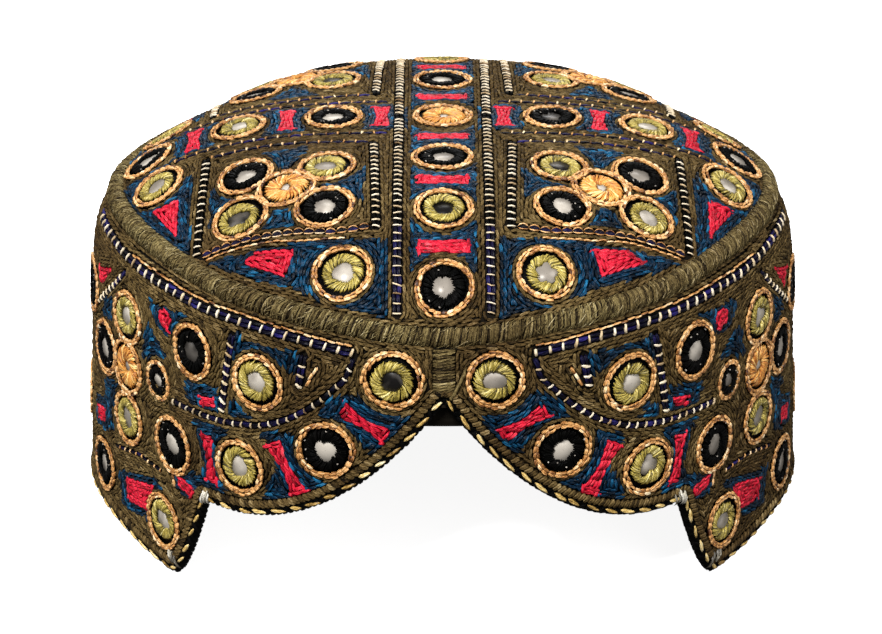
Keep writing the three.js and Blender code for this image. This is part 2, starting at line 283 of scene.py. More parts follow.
# A random tone for each stitch
def tones(dice, middle, spread, count, least=0):
    return np.clip(dice.normal(middle, spread, count), least, 1)


# A mesh object in the frame's metres from points in mm, triangles and a mark for each point
def makePiece(name, points, faces, marks, material, slot, node=None, smooth=True):
    mesh = bpy.data.meshes.new(name)
    points = (points - [0, cap["middleShift"], 0]) * 0.001
    mesh.vertices.add(len(points))
    mesh.vertices.foreach_set("co", points.astype(np.float32).ravel())
    mesh.loops.add(faces.size)
    mesh.loops.foreach_set("vertex_index", faces.astype(np.int32).ravel())
    mesh.polygons.add(len(faces))
    mesh.polygons.foreach_set("loop_start", np.arange(0, faces.size, 3, dtype=np.int32))
    mesh.update(calc_edges=True)
    layer = mesh.attributes.new("thread", "FLOAT_VECTOR", "POINT")
    layer.data.foreach_set("vector", marks.astype(np.float32).ravel())
    if smooth:
        mesh.shade_smooth()
    mesh.materials.append(material)
    piece = bpy.data.objects.new(name, mesh)
    bpy.context.scene.collection.objects.link(piece)
    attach(piece, "root")
    if node:
        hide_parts(node)
    return piece


def joined(blocks):
    starts = np.cumsum([0] + [len(b[0]) for b in blocks[:-1]])
    return (np.vstack([b[0] for b in blocks]), np.vstack([b[1] + s for b, s in zip(blocks, starts)]),
            np.vstack([b[2] for b in blocks]))


# Triangles of a grid of rows by columns, facing the side from which columns turn left of rows
def gridFaces(rowCount, columnCount, closeRows=False, closeColumns=False):
    r = np.arange(rowCount if closeRows else rowCount - 1)[:, None]
    c = np.arange(columnCount if closeColumns else columnCount - 1)[None]
    rn, cn = (r + 1) % rowCount, (c + 1) % columnCount
    a, b, d, e = r * columnCount + c, r * columnCount + cn, rn * columnCount + cn, rn * columnCount + c
    return np.concatenate([np.stack([a, b, d], -1).reshape(-1, 3), np.stack([a, d, e], -1).reshape(-1, 3)])


# sRGB hex to linear RGBA
def hexColour(code):
    value = np.array([int(code[i:i + 2], 16) for i in (1, 3, 5)]) / 255
    return (*np.where(value <= 0.04045, value / 12.92, ((value + 0.055) / 1.055) ** 2.4), 1.0)


# Adds a node: settings are its own properties, sockets its input values, links its input wires
def addNode(tree, kind, settings={}, sockets={}, links={}):
    node = tree.nodes.new(kind)
    for key, value in settings.items():
        setattr(node, key, value)
    for key, value in sockets.items():
        node.inputs[key].default_value = value
    for key, wire in links.items():
        tree.links.new(wire, node.inputs[key])
    return node


def newMaterial(name):
    material = bpy.data.materials.new(name)
    material.use_nodes = True
    material.node_tree.nodes.clear()
    return material, material.node_tree


def closeMaterial(tree, shader):
    addNode(tree, "ShaderNodeOutputMaterial", links={"Surface": shader.outputs["BSDF"]})


# What every material starts from: the stitch marks, their tone, and the place on the object
def surfaceNodes(tree):
    mark = addNode(tree, "ShaderNodeAttribute", {"attribute_name": "thread"}).outputs["Vector"]
    parts = addNode(tree, "ShaderNodeSeparateXYZ", links={0: mark})
    return mark, parts.outputs["Z"], addNode(tree, "ShaderNodeTexCoord").outputs["Object"]


# Noise with features of a size in mm
def noise(tree, place, size, detail):
    return addNode(tree, "ShaderNodeTexNoise", {}, {"Scale": 1000 / size, "Detail": detail},
                   {"Vector": place}).outputs["Fac"]


# The value times a factor, plus the rest
def scaled(tree, value, factor, rest):
    return addNode(tree, "ShaderNodeMath", {"operation": "MULTIPLY_ADD"}, {1: factor},
                   {0: value, 2: rest}).outputs[0]


def toneRamp(tree, value, places, codes):
    ramp = addNode(tree, "ShaderNodeValToRGB", links={0: value})
    stops = ramp.color_ramp.elements
    while len(stops) < len(places):
        stops.new(0.5)
    for stop, at, code in zip(stops, places, codes):
        stop.position, stop.color = at, hexColour(code)
    return ramp.outputs[0]


# Twisted embroidery thread. Each stitch has its own tone, two plies wind round it at the twist pitch, lighter
# on their crests and darker in the grooves between them as painted highlight and painted shade, fibres run
# along it and stand off it as fuzz, and slow stains darken whole areas.
def threadMaterial(name, look):
    material, tree = newMaterial(name)
    mark, tone, place = surfaceNodes(tree)
    stain = noise(tree, place, look["stainSize"], 3.0)
    fuzz = noise(tree, place, look["fuzzSize"], 2.0)
    ply = addNode(tree, "ShaderNodeVectorMath", {"operation": "DOT_PRODUCT"},
                  {1: (2 * np.pi / look["twist"], 2 * np.pi * look["plies"], 0)}, {0: mark})
    wave = addNode(tree, "ShaderNodeMath", {"operation": "SINE"}, links={0: ply.outputs["Value"]}).outputs[0]
    drawn = addNode(tree, "ShaderNodeVectorMath", {"operation": "MULTIPLY"},
                    {1: (1 / look["fibreLength"], 4.0, 60.0)}, {0: mark})
    fibre = addNode(tree, "ShaderNodeTexNoise", {}, {"Scale": 1.0, "Detail": 2.0},
                    {"Vector": drawn.outputs[0]}).outputs["Fac"]
    # The ply wave darkens the grooves and lightens the crests of the plies: painted shade and painted
    # highlight
    shade = scaled(tree, wave, look["plyPaintedShade"], tone)
    shade = scaled(tree, fibre, look["fibreShade"], shade)
    shade = scaled(tree, fuzz, look["fuzzShade"], shade)
    shade = addNode(tree, "ShaderNodeMath", {"operation": "SUBTRACT"},
                    {1: (look["fibreShade"] + look["fuzzShade"]) / 2}, {0: shade})
    colour = toneRamp(tree, shade.outputs[0], np.linspace(0.0, 0.95, len(look["tones"])), look["tones"])
    stained = addNode(tree, "ShaderNodeMapRange", {}, {"From Min": 0.36, "From Max": 0.64,
                      "To Min": 0.0, "To Max": look["stain"]}, {"Value": stain})
    mixed = addNode(tree, "ShaderNodeMix", {"data_type": "RGBA", "blend_type": "MULTIPLY"},
                    {7: hexColour(look["stainColour"])}, {0: stained.outputs[0], 6: colour})
    height = scaled(tree, fuzz, 0.8, scaled(tree, wave, 0.35, fibre))
    bump = addNode(tree, "ShaderNodeBump", {}, {"Strength": look["bump"], "Distance": 0.0003},
                   {"Height": height})
    shader = addNode(tree, "ShaderNodeBsdfPrincipled", {},
                     {"Roughness": look["roughness"], "Specular IOR Level": look["gloss"]},
                     {"Base Color": mixed.outputs[2], "Normal": bump.outputs[0]})
    closeMaterial(tree, shader)
    return material


# Sizes in mm. twist: one turn of the plies; the shades: how strongly plies, fibres and fuzz vary the tone,
# the plies' part being painted shade in their grooves and painted highlight on their crests; stain: how much
# of the stain colour the darkest areas take
plain = {"roughness": 0.7, "gloss": 0.08, "twist": 3.2, "plies": 2.3, "plyPaintedShade": 0.05,
         "fibreLength": 1.1, "fibreShade": 0.8, "fuzzSize": 0.45, "fuzzShade": 0.7, "bump": 0.9,
         "stain": 0.6, "stainSize": 30, "stainColour": "#80624c"}
silk = {**plain, "roughness": 0.42, "gloss": 0.35, "fibreLength": 1.6, "fuzzShade": 0.35, "bump": 0.7,
        "stain": 0.2}
threadLooks = {
    # Matt handspun cotton, dulled by wear: many close tones of olive with dark gaps
    "olive": {**plain, "tones": ["#0d0803", "#2f2412", "#584727", "#75613c", "#a8946a"]},
    # The same cotton wound tight round the roll, a little lighter; the lighter loose fibres over its outer
    # side and crest give it a painted highlight there
    "wrap": {**plain, "tones": ["#1a1309", "#463a22", "#75663f", "#9a8a5c", "#c9b98d"]},
    # Floss silk dyed indigo blue, with bright threads between dull ones
    "blue": {**silk, "gloss": 0.16, "fibreShade": 1.0,
             "tones": ["#000205", "#000c18", "#021d32", "#043653", "#17638b"]},
    # Floss silk in bright crimson, laid smooth
    "red": {**silk, "gloss": 0.2, "stain": 0.1, "fibreShade": 1.0,
            "tones": ["#3a020a", "#8a081b", "#c1132e", "#d8243c", "#e85a64"]},
    # Chain stitches of golden orange silk, pale where they shine
    "gold": {**silk, "gloss": 0.45, "fibreShade": 1.3, "fuzzShade": 0.6,
             "tones": ["#3c1c08", "#95602c", "#d29a58", "#ebb87a", "#ffe9bf"]},
    # Yellow-green silk, glossy, laid round the glass on a slant
    "green": {**silk, "gloss": 0.4, "fibreShade": 1.2, "fuzzShade": 0.6,
              "tones": ["#1d1804", "#5c5016", "#9d8b3a", "#c2ae56", "#efdf98"]},
    # Black silk: only its glints show the threads
    "black": {**silk, "roughness": 0.45, "gloss": 0.03, "stain": 0.0,
              "tones": ["#010101", "#020202", "#040403", "#070606", "#0d0c0b"]},
    # Bright orange silk that nearly fills its roundel
    "orange": {**silk, "gloss": 0.4, "fibreShade": 1.2, "fuzzShade": 0.6,
               "tones": ["#6a310a", "#b56a24", "#dd9842", "#efb762", "#fde09a"]},
    # Cream cotton cross stitches
    "cream": {**silk, "tones": ["#6f5535", "#ac9068", "#d3bd97", "#e6d6b8", "#f0e2c8"]},
    # Navy silk under the cream stitches
    "navy": {**silk, "gloss": 0.12, "tones": ["#010102", "#03020b", "#07051b", "#0f0c34", "#252060"]},
    # Pale gold twist in the hem rope
    "pale": {**silk, "gloss": 0.5, "fibreShade": 1.1, "fuzzShade": 0.7,
             "tones": ["#4b3714", "#997736", "#cdaa5e", "#e6cb86", "#fdf1c8"]},
    # White metal thread that ties the cord off at the corners
    "silver": {**silk, "gloss": 0.6, "fibreShade": 1.2,
               "tones": ["#3b352a", "#7f7866", "#b3ac99", "#d6d0c0", "#efeadd"]},
}
threadFinish = {key: threadMaterial("embroidery thread " + key, look) for key, look in threadLooks.items()}
slotOf = {"olive": "olive_thread", "wrap": "wrapped_roll", "blue": "blue_thread", "red": "red_thread",
          "gold": "gold_thread", "green": "green_thread", "black": "black_thread",
          "orange": "orange_thread", "cream": "braid", "navy": "braid"}

# weave: pitch of the threads; under: how far below the stitches; wall: thickness; hemInset: how
# far in from the lower edge
# The outside colour is near black, partly the cloth's own colour and partly painted shade in the gaps between
# the stitches
clothLook = {"weave": 0.9, "wornSize": 50 / 3, "outsideAndGapShade": "#0e0a05", "inside": "#6d604f",
             "under": 0.3, "wall": 2.3, "hemInset": 1.9}


# Tight plain-woven cotton, near black outside, where it only shows between stitches: partly its own dark
# colour and partly painted shade in the gaps between the rows. Grey-brown inside, where the attribute's third
# number is 1
def clothMaterial():
    material, tree = newMaterial("plain woven cotton ground")
    _, isInside, place = surfaceNodes(tree)
    across, up = [addNode(tree, "ShaderNodeTexWave", {"bands_direction": way},
                          {"Scale": 1000 / clothLook["weave"] / 6.283, "Distortion": 1.5, "Detail": 1.0},
                          {"Vector": place}).outputs["Fac"] for way in ("X", "Z")]
    weave = addNode(tree, "ShaderNodeMath", {"operation": "ADD"}, links={0: across, 1: up})
    worn = noise(tree, place, clothLook["wornSize"], 4.0)
    colour = addNode(tree, "ShaderNodeMix", {"data_type": "RGBA"},
                     {6: hexColour(clothLook["outsideAndGapShade"]), 7: hexColour(clothLook["inside"])}, {0: isInside})
    dirt = addNode(tree, "ShaderNodeMapRange", {}, {"From Min": 0.3, "From Max": 0.7, "To Min": 0.75,
                   "To Max": 1.1}, {"Value": worn})
    tinted = addNode(tree, "ShaderNodeVectorMath", {"operation": "SCALE"},
                     links={0: colour.outputs[2], "Scale": dirt.outputs[0]})
    bump = addNode(tree, "ShaderNodeBump", {}, {"Strength": 0.5, "Distance": 0.0002},
                   {"Height": weave.outputs[0]})
    shader = addNode(tree, "ShaderNodeBsdfPrincipled", {}, {"Roughness": 0.9, "Specular IOR Level": 0.1},
                     {"Base Color": tinted.outputs[0], "Normal": bump.outputs[0]})
    closeMaterial(tree, shader)
    return material


# dark and pale: range of the mark of a glass with a dark painted reflection, as of something dark, and of the
# rest, whose pale mark is a painted reflection of the bright room; tones: the colours of these painted
# reflections; patchSize and patchShade: size and strength of faint patches of lighter and darker painted
# reflection; the dark share: how many glasses have the dark painted reflection
glassLook = {"places": (0.45, 0.6, 0.85, 1.3 / 1.4), "tones": ("#0f0d0c", "#5b5650", "#8d857b", "#b4aca0"),
             "patchSize": 4.5, "patchShade": 0.4, "roughness": 0.35, "paintedDarkShare": 0.16,
             "dark": (0.22, 0.36), "pale": (0.58, 0.78)}


# Small silvered mirrors cut by hand, their reflections painted into the base colour: a flat grey-white
# painted reflection, on a few of them a dark painted reflection, with faint patches of lighter and darker
# painted reflection
def glassMaterial():
    material, tree = newMaterial("hand-cut silvered mirror glass")
    _, tone, place = surfaceNodes(tree)
    shade = scaled(tree, noise(tree, place, glassLook["patchSize"], 1.0), glassLook["patchShade"], tone)
    shader = addNode(tree, "ShaderNodeBsdfPrincipled", {},
                     {"Roughness": glassLook["roughness"], "Metallic": 0.1, "Specular IOR Level": 0.25},
                     {"Base Color": toneRamp(tree, shade, glassLook["places"], glassLook["tones"])})
    closeMaterial(tree, shader)
    return material


cloth, threadFinish["glass"] = clothMaterial(), glassMaterial()
print("materials ready")

# Crown roundels in one quarter: across, ahead, colour
crownRoundels = [(0, 0, "orange"), (0, 28.4, "black"), (0, 54.2, "green"), (0, 77.6, "black"),
                 (30.5, 0, "black"), (57, 0, "green"), (82.5, 0, "black"), (42.3, 39.5, "orange"),
                 (31.4, 31.6, "green"), (53.5, 29.6, "black"), (54.2, 46.4, "green"),
                 (31.6, 50.6, "black"), (26.5, 72.2, "green"), (78.3, 18.2, "green")]
# Band roundels in one quarter: angle from the front or back seam, height, colour
bandRoundels = [(8.0, 74.6, "green"), (30.2, 69.0, "green"), (44.5, 70.8, "black"),
                (18.5, 53.2, "black"), (33.6, 42.7, "green"), (49.7, 39.8, "black"),
                (52.6, 14.5, "green"), (65, 68.5, "green"), (64.7, 53.9, "orange"),
                (64.4, 38.3, "green"), (74.1, 53.5, "black"),
                (74.6, 16.6, "black"), (83.5, 66.5, "black"), (90, 29, "green")]


# A thing of one quarter repeated in all four: across and ahead take both signs
def crownMirrored(points):
    points = np.asarray(points, float)
    return [crownFlat(points * [sx, -sy]) for sx in (1, -1) for sy in (1, -1)]


# Right and left of the front seam, then left and right of the back
def bandMirrored(points):
    points = np.asarray(points, float)
    return [bandFlat(p) for p in (points, points * [-1, 1], [180, 0] - points * [1, -1], [-180, 0] + points)]


def unique(points):
    return np.unique(np.round(np.reshape(points, (-1, 2)), 3), axis=0)


def roundelPlaces(table, mirrored):
    return {colour: unique([mirrored([row[:2]]) for row in table if row[2] == colour])
            for colour in ("green", "black", "orange")}


# A small one beside each group of five, half buried in the rows
smallPlaces = unique(bandMirrored([(54.4, 56.2)]))
crownPlaces = roundelPlaces(crownRoundels, crownMirrored)
bandPlaces = roundelPlaces(bandRoundels, bandMirrored)

# Ladders of cross stitches in one quarter, by the kinds of ladderLooks below: cream stitches across
# a strip (light, close, front, navy, short, thin), navy dashes in a gold chain (chain), small gold
# stitches on a thin strip (line) and one gold thread (thread, twist)
crownLadders = [
    ("light", [(65, 15), (65.8, 51.5)]),
    ("light", [(19, 17.4), (17.8, 59.9)]),
    ("chain", [(64.4, 52.9), (53.3, 54.6), (42.3, 56.8), (28.7, 60.0), (19.5, 59.8)]),
    ("line", [(20.5, 17.4), (42, 15.6), (63.5, 15)]),
    ("thread", [(63.2, 54.8), (47.6, 57.6), (37.9, 60.7), (26, 62.5)]),
    ("close", [(12.2, 0), (12.2, 60)]),
    ("line", [(15.5, 11.5), (40, 11.0), (60, 10.2), (74, 9.6)]),
    ("front", [(12.2, 60), (12.2, 82.5)]),
]
bandLadders = [
    ("navy", [(86, 86.2), (76.6, 86.0), (62.1, 84.1), (45, 84.0), (34.2, 84.1), (25.4, 83.5), (14.5, 81.4)]),
    ("thread", [(66.1, 86.2), (45, 85.9), (34.2, 86.0), (25.4, 85.3), (14.5, 83.0)]),
    ("thin", [(14.2, 79.6), (15.3, 74.1), (18.2, 69), (21.2, 64.3), (25, 59.9), (30, 56.3),
              (36.4, 54.3), (44.1, 53.4), (49.5, 52.8)]),
    ("short", [(35.5, 79.9), (37.4, 57.6)]),
    ("short", [(22.2, 79), (22.9, 70.7)]),
    ("thin", [(67.2, 80.6), (70.1, 75.6), (74.6, 69.6), (79.6, 63.2)]),
    ("line", [(69.7, 25.8), (61.0, 29.4), (53.4, 29.5)]),
    ("twist", [(20.0, 76.1), (20.8, 73.6), (21.8, 70.8)]),
    ("twist", [(50.4, 33.2), (49.3, 27.2)]),
]


# A waisted bar from start to end: half widths at the ends and the waist, on the unrolled surface
def bow(start, end, endHalf, waistHalf):
    start, end = np.asarray(start, float), np.asarray(end, float)
    along = (end - start) / np.linalg.norm(end - start)
    side = np.array([-along[1], along[0]])
    share = np.array([0, 0.3, 0.5, 0.7, 1])
    half = np.array([endHalf, waistHalf * 1.25, waistHalf, waistHalf * 1.25, endHalf])
    spine = start + (end - start) * share[:, None]
    return np.vstack([spine + side * half[:, None], (spine - side * half[:, None])[::-1]])


# A bar in every quarter for each row of start, end and the two half widths
def bows(mirrored, table):
    return [bow(a[0], b[0], *halves) for start, end, *halves in table
            for a, b in zip(mirrored([start]), mirrored([end]))]


# The blue between two roundels of the middle row, which leaves an olive ring round each
def cornersBetween(near, far, half=8.7, ring=9.3):
    across = np.array([-half, -4.5, 0.0, 4.5, half])
    reach = np.sqrt(ring ** 2 - across ** 2)
    return np.vstack([np.stack([across, near + reach], -1), np.stack([across, far - reach], -1)[::-1]])


crownBlue = [p for shape in [
    [(62.5, 56.4), (15.0, 64.3), (14.6, 83.5), (26.8, 80.2), (41.9, 72.0), (53, 65.0)],
    [(88.5, 8.2), (87.0, 18.8), (81.5, 33.8), (75, 45), (67.8, 51.5), (67.8, 23), (76, 8.6)],
    cornersBetween(54.2, 77.6), cornersBetween(28.4, 54.2), cornersBetween(3.2, 28.4),
    [(62.8, 31), (63, 45), (50, 38.5)], [(21.2, 34), (21.2, 48.5), (35, 41)],
    [(36, 19), (49.5, 18.6), (42.5, 31)], [(36.5, 56.2), (51, 53), (42.6, 46)],
    [(10, -8.6), (22.5, -8.6), (22.5, 8.6), (10, 8.6)],
    [(37.5, -8.6), (50, -8.6), (50, 8.6), (37.5, 8.6)],
    [(64, -8.2), (75, -8.2), (75, 8.2), (64, 8.2)]] for p in crownMirrored(shape)]
crownRed = [p for shape in [
    [(53.4, 61.4), (48.7, 60.0), (39.3, 62.9), (41.4, 69.8)],
    [(79.4, 27.6), (72, 28.6), (71.6, 42.6)]] for p in crownMirrored(shape)]
crownRed += bows(crownMirrored, [
    ((-6.9, 67), (6.9, 67), 2.1, 1.7), ((-6.9, 41.3), (6.9, 41.3), 2.1, 1.6),
    ((-6.9, 14.6), (6.9, 14.6), 1.8, 1.5), ((17, -7), (17, 7), 2.3, 1.5),
    ((43.5, -7), (43.5, 7), 2.4, 1.5), ((69.5, -7), (69.5, 7), 2.4, 1.5)])
bandBlue = [p for shape in [
    [(57.8, 78.4), (46.4, 80.0), (48.9, 76.1), (51.2, 71.4), (54.6, 71.6), (56.6, 74.7)],
    [(58.9, 70.4), (56.4, 70.2), (54.3, 67.0), (51.4, 64.9), (55.8, 61.4), (60.2, 60.2), (59.2, 65.4)],
    [(75.9, 66.4), (71.5, 70.8), (71.5, 62.8), (75.9, 61.7)],
    [(75.8, 43), (69.7, 46.2), (69.7, 38.5), (74.4, 37)],
    [(80.6, 33.8), (72.5, 39), (70.3, 31), (74.4, 26.5), (80, 26)],
    [(68.5, 19.6), (53.4, 26.8), (54.8, 11.6), (66.5, 9.6)],
    [(50.3, 33), (42.0, 35), (41.3, 27.5), (47.4, 25.6), (50.3, 30)],
    [(18.2, 67.9), (14.3, 70.4), (10.3, 65.6), (4.2, 63.4), (6.2, 56), (10.7, 50.6), (13.5, 57.5),
     (19.5, 62.6)],
    [(29.5, 54.9), (24.3, 56.8), (23.2, 47.3), (17.2, 42.6), (19.5, 38.6), (25.3, 34.8), (29.5, 35),
     (26.6, 46.1)],
    [(44.8, 51.5), (36.4, 52.5), (39.0, 43.0), (36.4, 33.6), (43.4, 30), (41.5, 38.7), (42.6, 43.8)],
    [(46.5, 59.5), (44.7, 63.0), (38.2, 63.5), (38.2, 56), (46.0, 55.6)],
    [(35.0, 80.4), (22.9, 79.4), (23.4, 73.5), (28.1, 76), (31.9, 76), (35, 73.4)],
    [(36.2, 60.4), (33.5, 61.6), (31.8, 57.6), (36, 56.6)]] for p in bandMirrored(shape)]
bandRed = [p for shape in [
    [(54.4, 77.0), (52.6, 78.4), (50.6, 77.2), (51.4, 72.6), (53.8, 74.0)],
    [(79.0, 74.6), (72.0, 78.6), (76.8, 70.0)],
    [(79.2, 32.0), (74.4, 33.9), (74.4, 29.8), (78.2, 27.8)],
    [(65.3, 18.9), (55.6, 23.4), (57.0, 14.2), (64.8, 12.3)],
    [(48.3, 31.6), (44.0, 30.5), (44.0, 26.7), (48.0, 28.4)],
    [(42.9, 58.7), (38.9, 60.2), (38.9, 57.4), (42.3, 56.4)]] for p in bandMirrored(shape)]
bandRed += bows(bandMirrored, [
    ((16.0, 65.2), (8.8, 58.4), 2.6, 1.3), ((27.4, 52.6), (22.8, 39.2), 2.6, 1.35),
    ((40.8, 48.2), (39.4, 34.8), 2.4, 1.2)])


# True where a point lies inside a closed outline: an odd number of its sides crossed
def inside(points, outline):
    x, y = points[..., 0], points[..., 1]
    odd = np.zeros(x.shape, bool)
    for (x1, y1), (x2, y2) in zip(outline, np.roll(outline, -1, axis=0)):
        if y1 != y2:
            odd ^= ((y1 > y) != (y2 > y)) & (x < (x2 - x1) * (y - y1) / (y2 - y1) + x1)
    return odd


def insideAny(points, outlines):
    found = np.zeros(points.shape[:-1], bool)
    for outline in outlines:
        found |= inside(points, outline)
    return found


# Rows of stem stitches follow every roundel, ladder, hem and coloured shape at steps of one row.
# A stitch stays where that boundary is the nearest one, so rows meet midway between two.
def fillingRows(circles, lines, allowed, seed):
    dice = np.random.default_rng(seed)
    stations = np.array([-0.5, -0.3, 0, 0.3, 0.5]) * rows["length"]
    pieces = np.vstack([np.hstack([line[:-1], line[1:], np.full((len(line) - 1, 1), half)])
                        for line, half in lines])
    corners = []
    for line, half in lines:
        closed = np.allclose(line[0], line[-1])
        span = unit(np.diff(line, axis=0))
        ahead = np.roll(span, -1, axis=0) if closed else span[1:]
        bend = np.arccos(np.clip((span[:len(ahead)] * ahead).sum(1), -1, 1))
        spots = np.roll(line[:-1], -1, axis=0) if closed else line[1:-1]
        corners.append(np.hstack([spots[bend > 0.35], np.full(((bend > 0.35).sum(), 1), half)]))
        if not closed:
            corners.append(np.hstack([line[[0, -1]], [[half], [half]]]))
    rounds = [(*c, True) for c in circles] + [(*c, False) for c in np.vstack(corners)]
    flats, gaps, first = [], [], []
    for k in range(rows["most"]):
        away = (k + 0.5) * rows["pitch"]
        for x, y, radius, isRoundel in rounds:
            reach = radius + away
            count = max(int(2 * np.pi * reach / rows["spacing"]), 3)
            turn = 2 * np.pi * (np.arange(count) + dice.random()) / count
            around = turn[:, None] + stations / max(reach, 1.5)
            out = reach + stations * rows["lean"]
            flats.append(np.stack([x + out * np.cos(around), y + out * np.sin(around)], -1))
            gaps.append(np.full(count, away))
            first.append(np.full(count, isRoundel and k == 0))
        for line, half in lines:
            spots, along = evenly(line, rows["spacing"])
            side = leftOf(along)
            for way in (1, -1):
                shift = dice.uniform(-1, 1) * rows["spacing"] / 2
                middle = spots + side * way * (half + away) + along * shift
                lean = (along + side * way * rows["lean"])[:, None] * stations[:, None]
                flats.append(middle[:, None] + lean)
                gaps.append(np.full(len(spots), away))
                first.append(np.zeros(len(spots), bool))
    flats, gaps, first = np.concatenate(flats), np.concatenate(gaps), np.concatenate(first)

    def clearance(points):
        best = nearest(points, pieces)
        for x, y, radius in circles:
            best = np.minimum(best, np.hypot(points[:, 0] - x, points[:, 1] - y) - radius)
        return best

    keep = allowed(flats[:, 2])
    flats, gaps, first = flats[keep], gaps[keep], first[keep]
    keep = clearance(flats[:, 2]) > gaps - rows["meet"] * rows["pitch"]
    flats, gaps, first = flats[keep], gaps[keep], first[keep]
    for end, near in ((0, 1), (4, 3)):
        crowded = (clearance(flats[:, end]) < gaps - 0.6 * rows["pitch"])[:, None]
        middle = flats[:, 2]
        flats[:, end] = np.where(crowded, middle + (flats[:, end] - middle) * 0.5, flats[:, end])
        flats[:, near] = np.where(crowded, middle + (flats[:, near] - middle) * 0.5, flats[:, near])
    return flats, first, dice


# Sews the rows as olive, blue or red stitches by the shape their middle lies in
def sewFilling(name, surface, filling, blue, red):
    flats, first, dice = filling
    count = len(flats)
    middle = flats[:, 2]
    isRed = insideAny(middle, red)
    isBlue = insideAny(middle, blue) & ~isRed & ~first
    bodyWidth, bodyRise = np.array([0, 0.86, 1, 0.86, 0]), np.array([0, 0.8, 1, 0.8, 0])
    half = rows["half"] * dice.uniform(0.86, 1.12, count)[:, None] * bodyWidth
    rise = rows["rise"] * dice.uniform(0.8, 1.15, count)[:, None] * bodyRise
    height = np.array([-0.36, -0.02, 0.06, -0.02, -0.36]) + dice.uniform(-0.1, 0.1, count)[:, None]
    tone = dice.normal(0, 1, count)
    flats = flats + dice.normal(0, 0.05, (count, 1, 2))
    for colour, chosen, plump, spread in (("olive", ~isRed & ~isBlue, 1.0, 0.11),
                                          ("blue", isBlue, 1.1, 0.2), ("red", isRed, 1.18, 0.12)):
        for side, onSide in (("left", middle[:, 0] < 0), ("right", middle[:, 0] >= 0)):
            pick = chosen & onSide
            piece = name + "_" + colour + ("_" + side if colour == "olive" else "") + "_rows"
            stitch(piece, surface, flats[pick], height[pick], half[pick] * plump,
                   rise[pick] * (2 * plump - 1), np.clip(0.47 + spread * tone[pick], 0.02, 0.95))
    print(name, "rows:", count, "stitches")


# half: half width of the strip; ground and strands: what lies under; pitch: one step; cross and
# crossHalf: colour and half width of the stitches over it
strip = {"half": 1.15, "ground": "navy", "strands": 2, "cross": "cream"}
cord = {"ground": "navy", "strands": 1, "cross": "cream", "crossHalf": 0.26}
ladderLooks = {
    "light": {**strip, "ground": "black", "pitch": 2.6, "crossHalf": 0.27},
    "navy": {**strip, "pitch": 3.8, "crossHalf": 0.42},
    "close": {**strip, "half": 1.25, "ground": "black", "pitch": 2.45, "crossHalf": 0.24},
    "front": {**strip, "half": 1.25, "pitch": 2.8, "crossHalf": 0.24},
    "short": {**strip, "pitch": 2.9, "crossHalf": 0.36},
    "thin": {**cord, "half": 0.8, "pitch": 3.0},
    "chain": {**cord, "half": 1.0, "pitch": 3.1, "cross": None, "crossHalf": 0.2},
    "line": {**cord, "half": 0.4, "pitch": 3.4, "cross": "gold"},
    "thread": {**cord, "half": 0.3, "ground": "gold", "pitch": 2.3, "cross": None},
    "twist": {**cord, "half": 0.48, "ground": "gold", "pitch": 2.3, "cross": None}}


# Ground strands along the line in short stitches, then a slanted cross stitch over each joint, or
# for a chain two thin threads that part and meet once in each step
def sewLadder(name, surface, line, kind, seed):
    look = ladderLooks[kind]
    dice = np.random.default_rng(seed)
    spots, along = evenly(line, look["pitch"])
    side = leftOf(along)
    count = len(spots)
    jitter = dice.normal(0, 0.12, (count, 1, 1))
    width = look["half"] * (0.82 if kind == "chain" else 1)
    steps = np.array([-0.58, -0.4, 0, 0.4, 0.58]) * look["pitch"] * (0.88 if kind == "chain" else 1)
    for strand in range(look["strands"]):
        offset = (strand - (look["strands"] - 1) / 2) * width * 0.95
        flat = spots[:, None] + side[:, None] * (offset + jitter) + along[:, None] * steps[:, None]
        stitch(name + "_" + look["ground"] + "_ladders", surface, flat,
               np.array([-0.15, 0.12, 0.2, 0.12, -0.15]),
               width / look["strands"] * np.array([0, 0.95, 1.05, 0.95, 0]),
               0.5 * np.array([0, 0.8, 1, 0.8, 0]), tones(dice, 0.5, 0.2, count))
    if kind == "chain":
        share = np.linspace(-0.56, 0.56, 5)
        for way in (1, -1):
            belly = np.array([0.0, 0.8, 1.0, 0.8, 0.0]) * way * look["half"]
            flat = (spots[:, None] + side[:, None] * (belly[:, None] + jitter)
                    + along[:, None] * share[:, None] * look["pitch"])
            stitch(name + "_gold_ladders", surface, flat, np.array([0.1, 0.35, 0.4, 0.35, 0.1]),
                   look["crossHalf"] * swell, 0.35 * swell, tones(dice, 0.5, 0.2, count, 0.05))
    if look["cross"]:
        spots = spots + along * look["pitch"] / 2
        reach = np.array([-1.0, -0.72, 0, 0.72, 1.0]) * (look["half"] + 0.1)
        reach = reach * dice.uniform(0.8, 1.1, (count, 1))
        slant = dice.normal(0.16, 0.14, (count, 1, 1))
        bend = 0.25 * np.array([0, 0.5, 1, 0.5, 0]) * dice.normal(0.6, 0.6, (count, 1))
        flat = (spots[:, None] + (side[:, None] + along[:, None] * slant) * reach[..., None]
                + along[:, None] * bend[..., None])
        stitch(name + "_" + look["cross"] + "_crosses", surface, flat, np.array([0.0, 0.5, 0.68, 0.5, 0.0]),
               look["crossHalf"] * dice.uniform(0.8, 1.2, (count, 1)) * swell, 0.36 * swell,
               tones(dice, 0.6, 0.24, count, 0.05))


def dense(line, step=4.0):
    length = lengthAlong(line)
    return pointsAt(line, length, np.linspace(0, length[-1], max(int(length[-1] / step), 1) + 1))


def closedLine(outline):
    return np.vstack([outline, outline[:1]])


def circlesAt(places, radius):
    return np.hstack([places, np.full((len(places), 1), radius)])


ringAngles = np.arange(0, 361, 3.0)


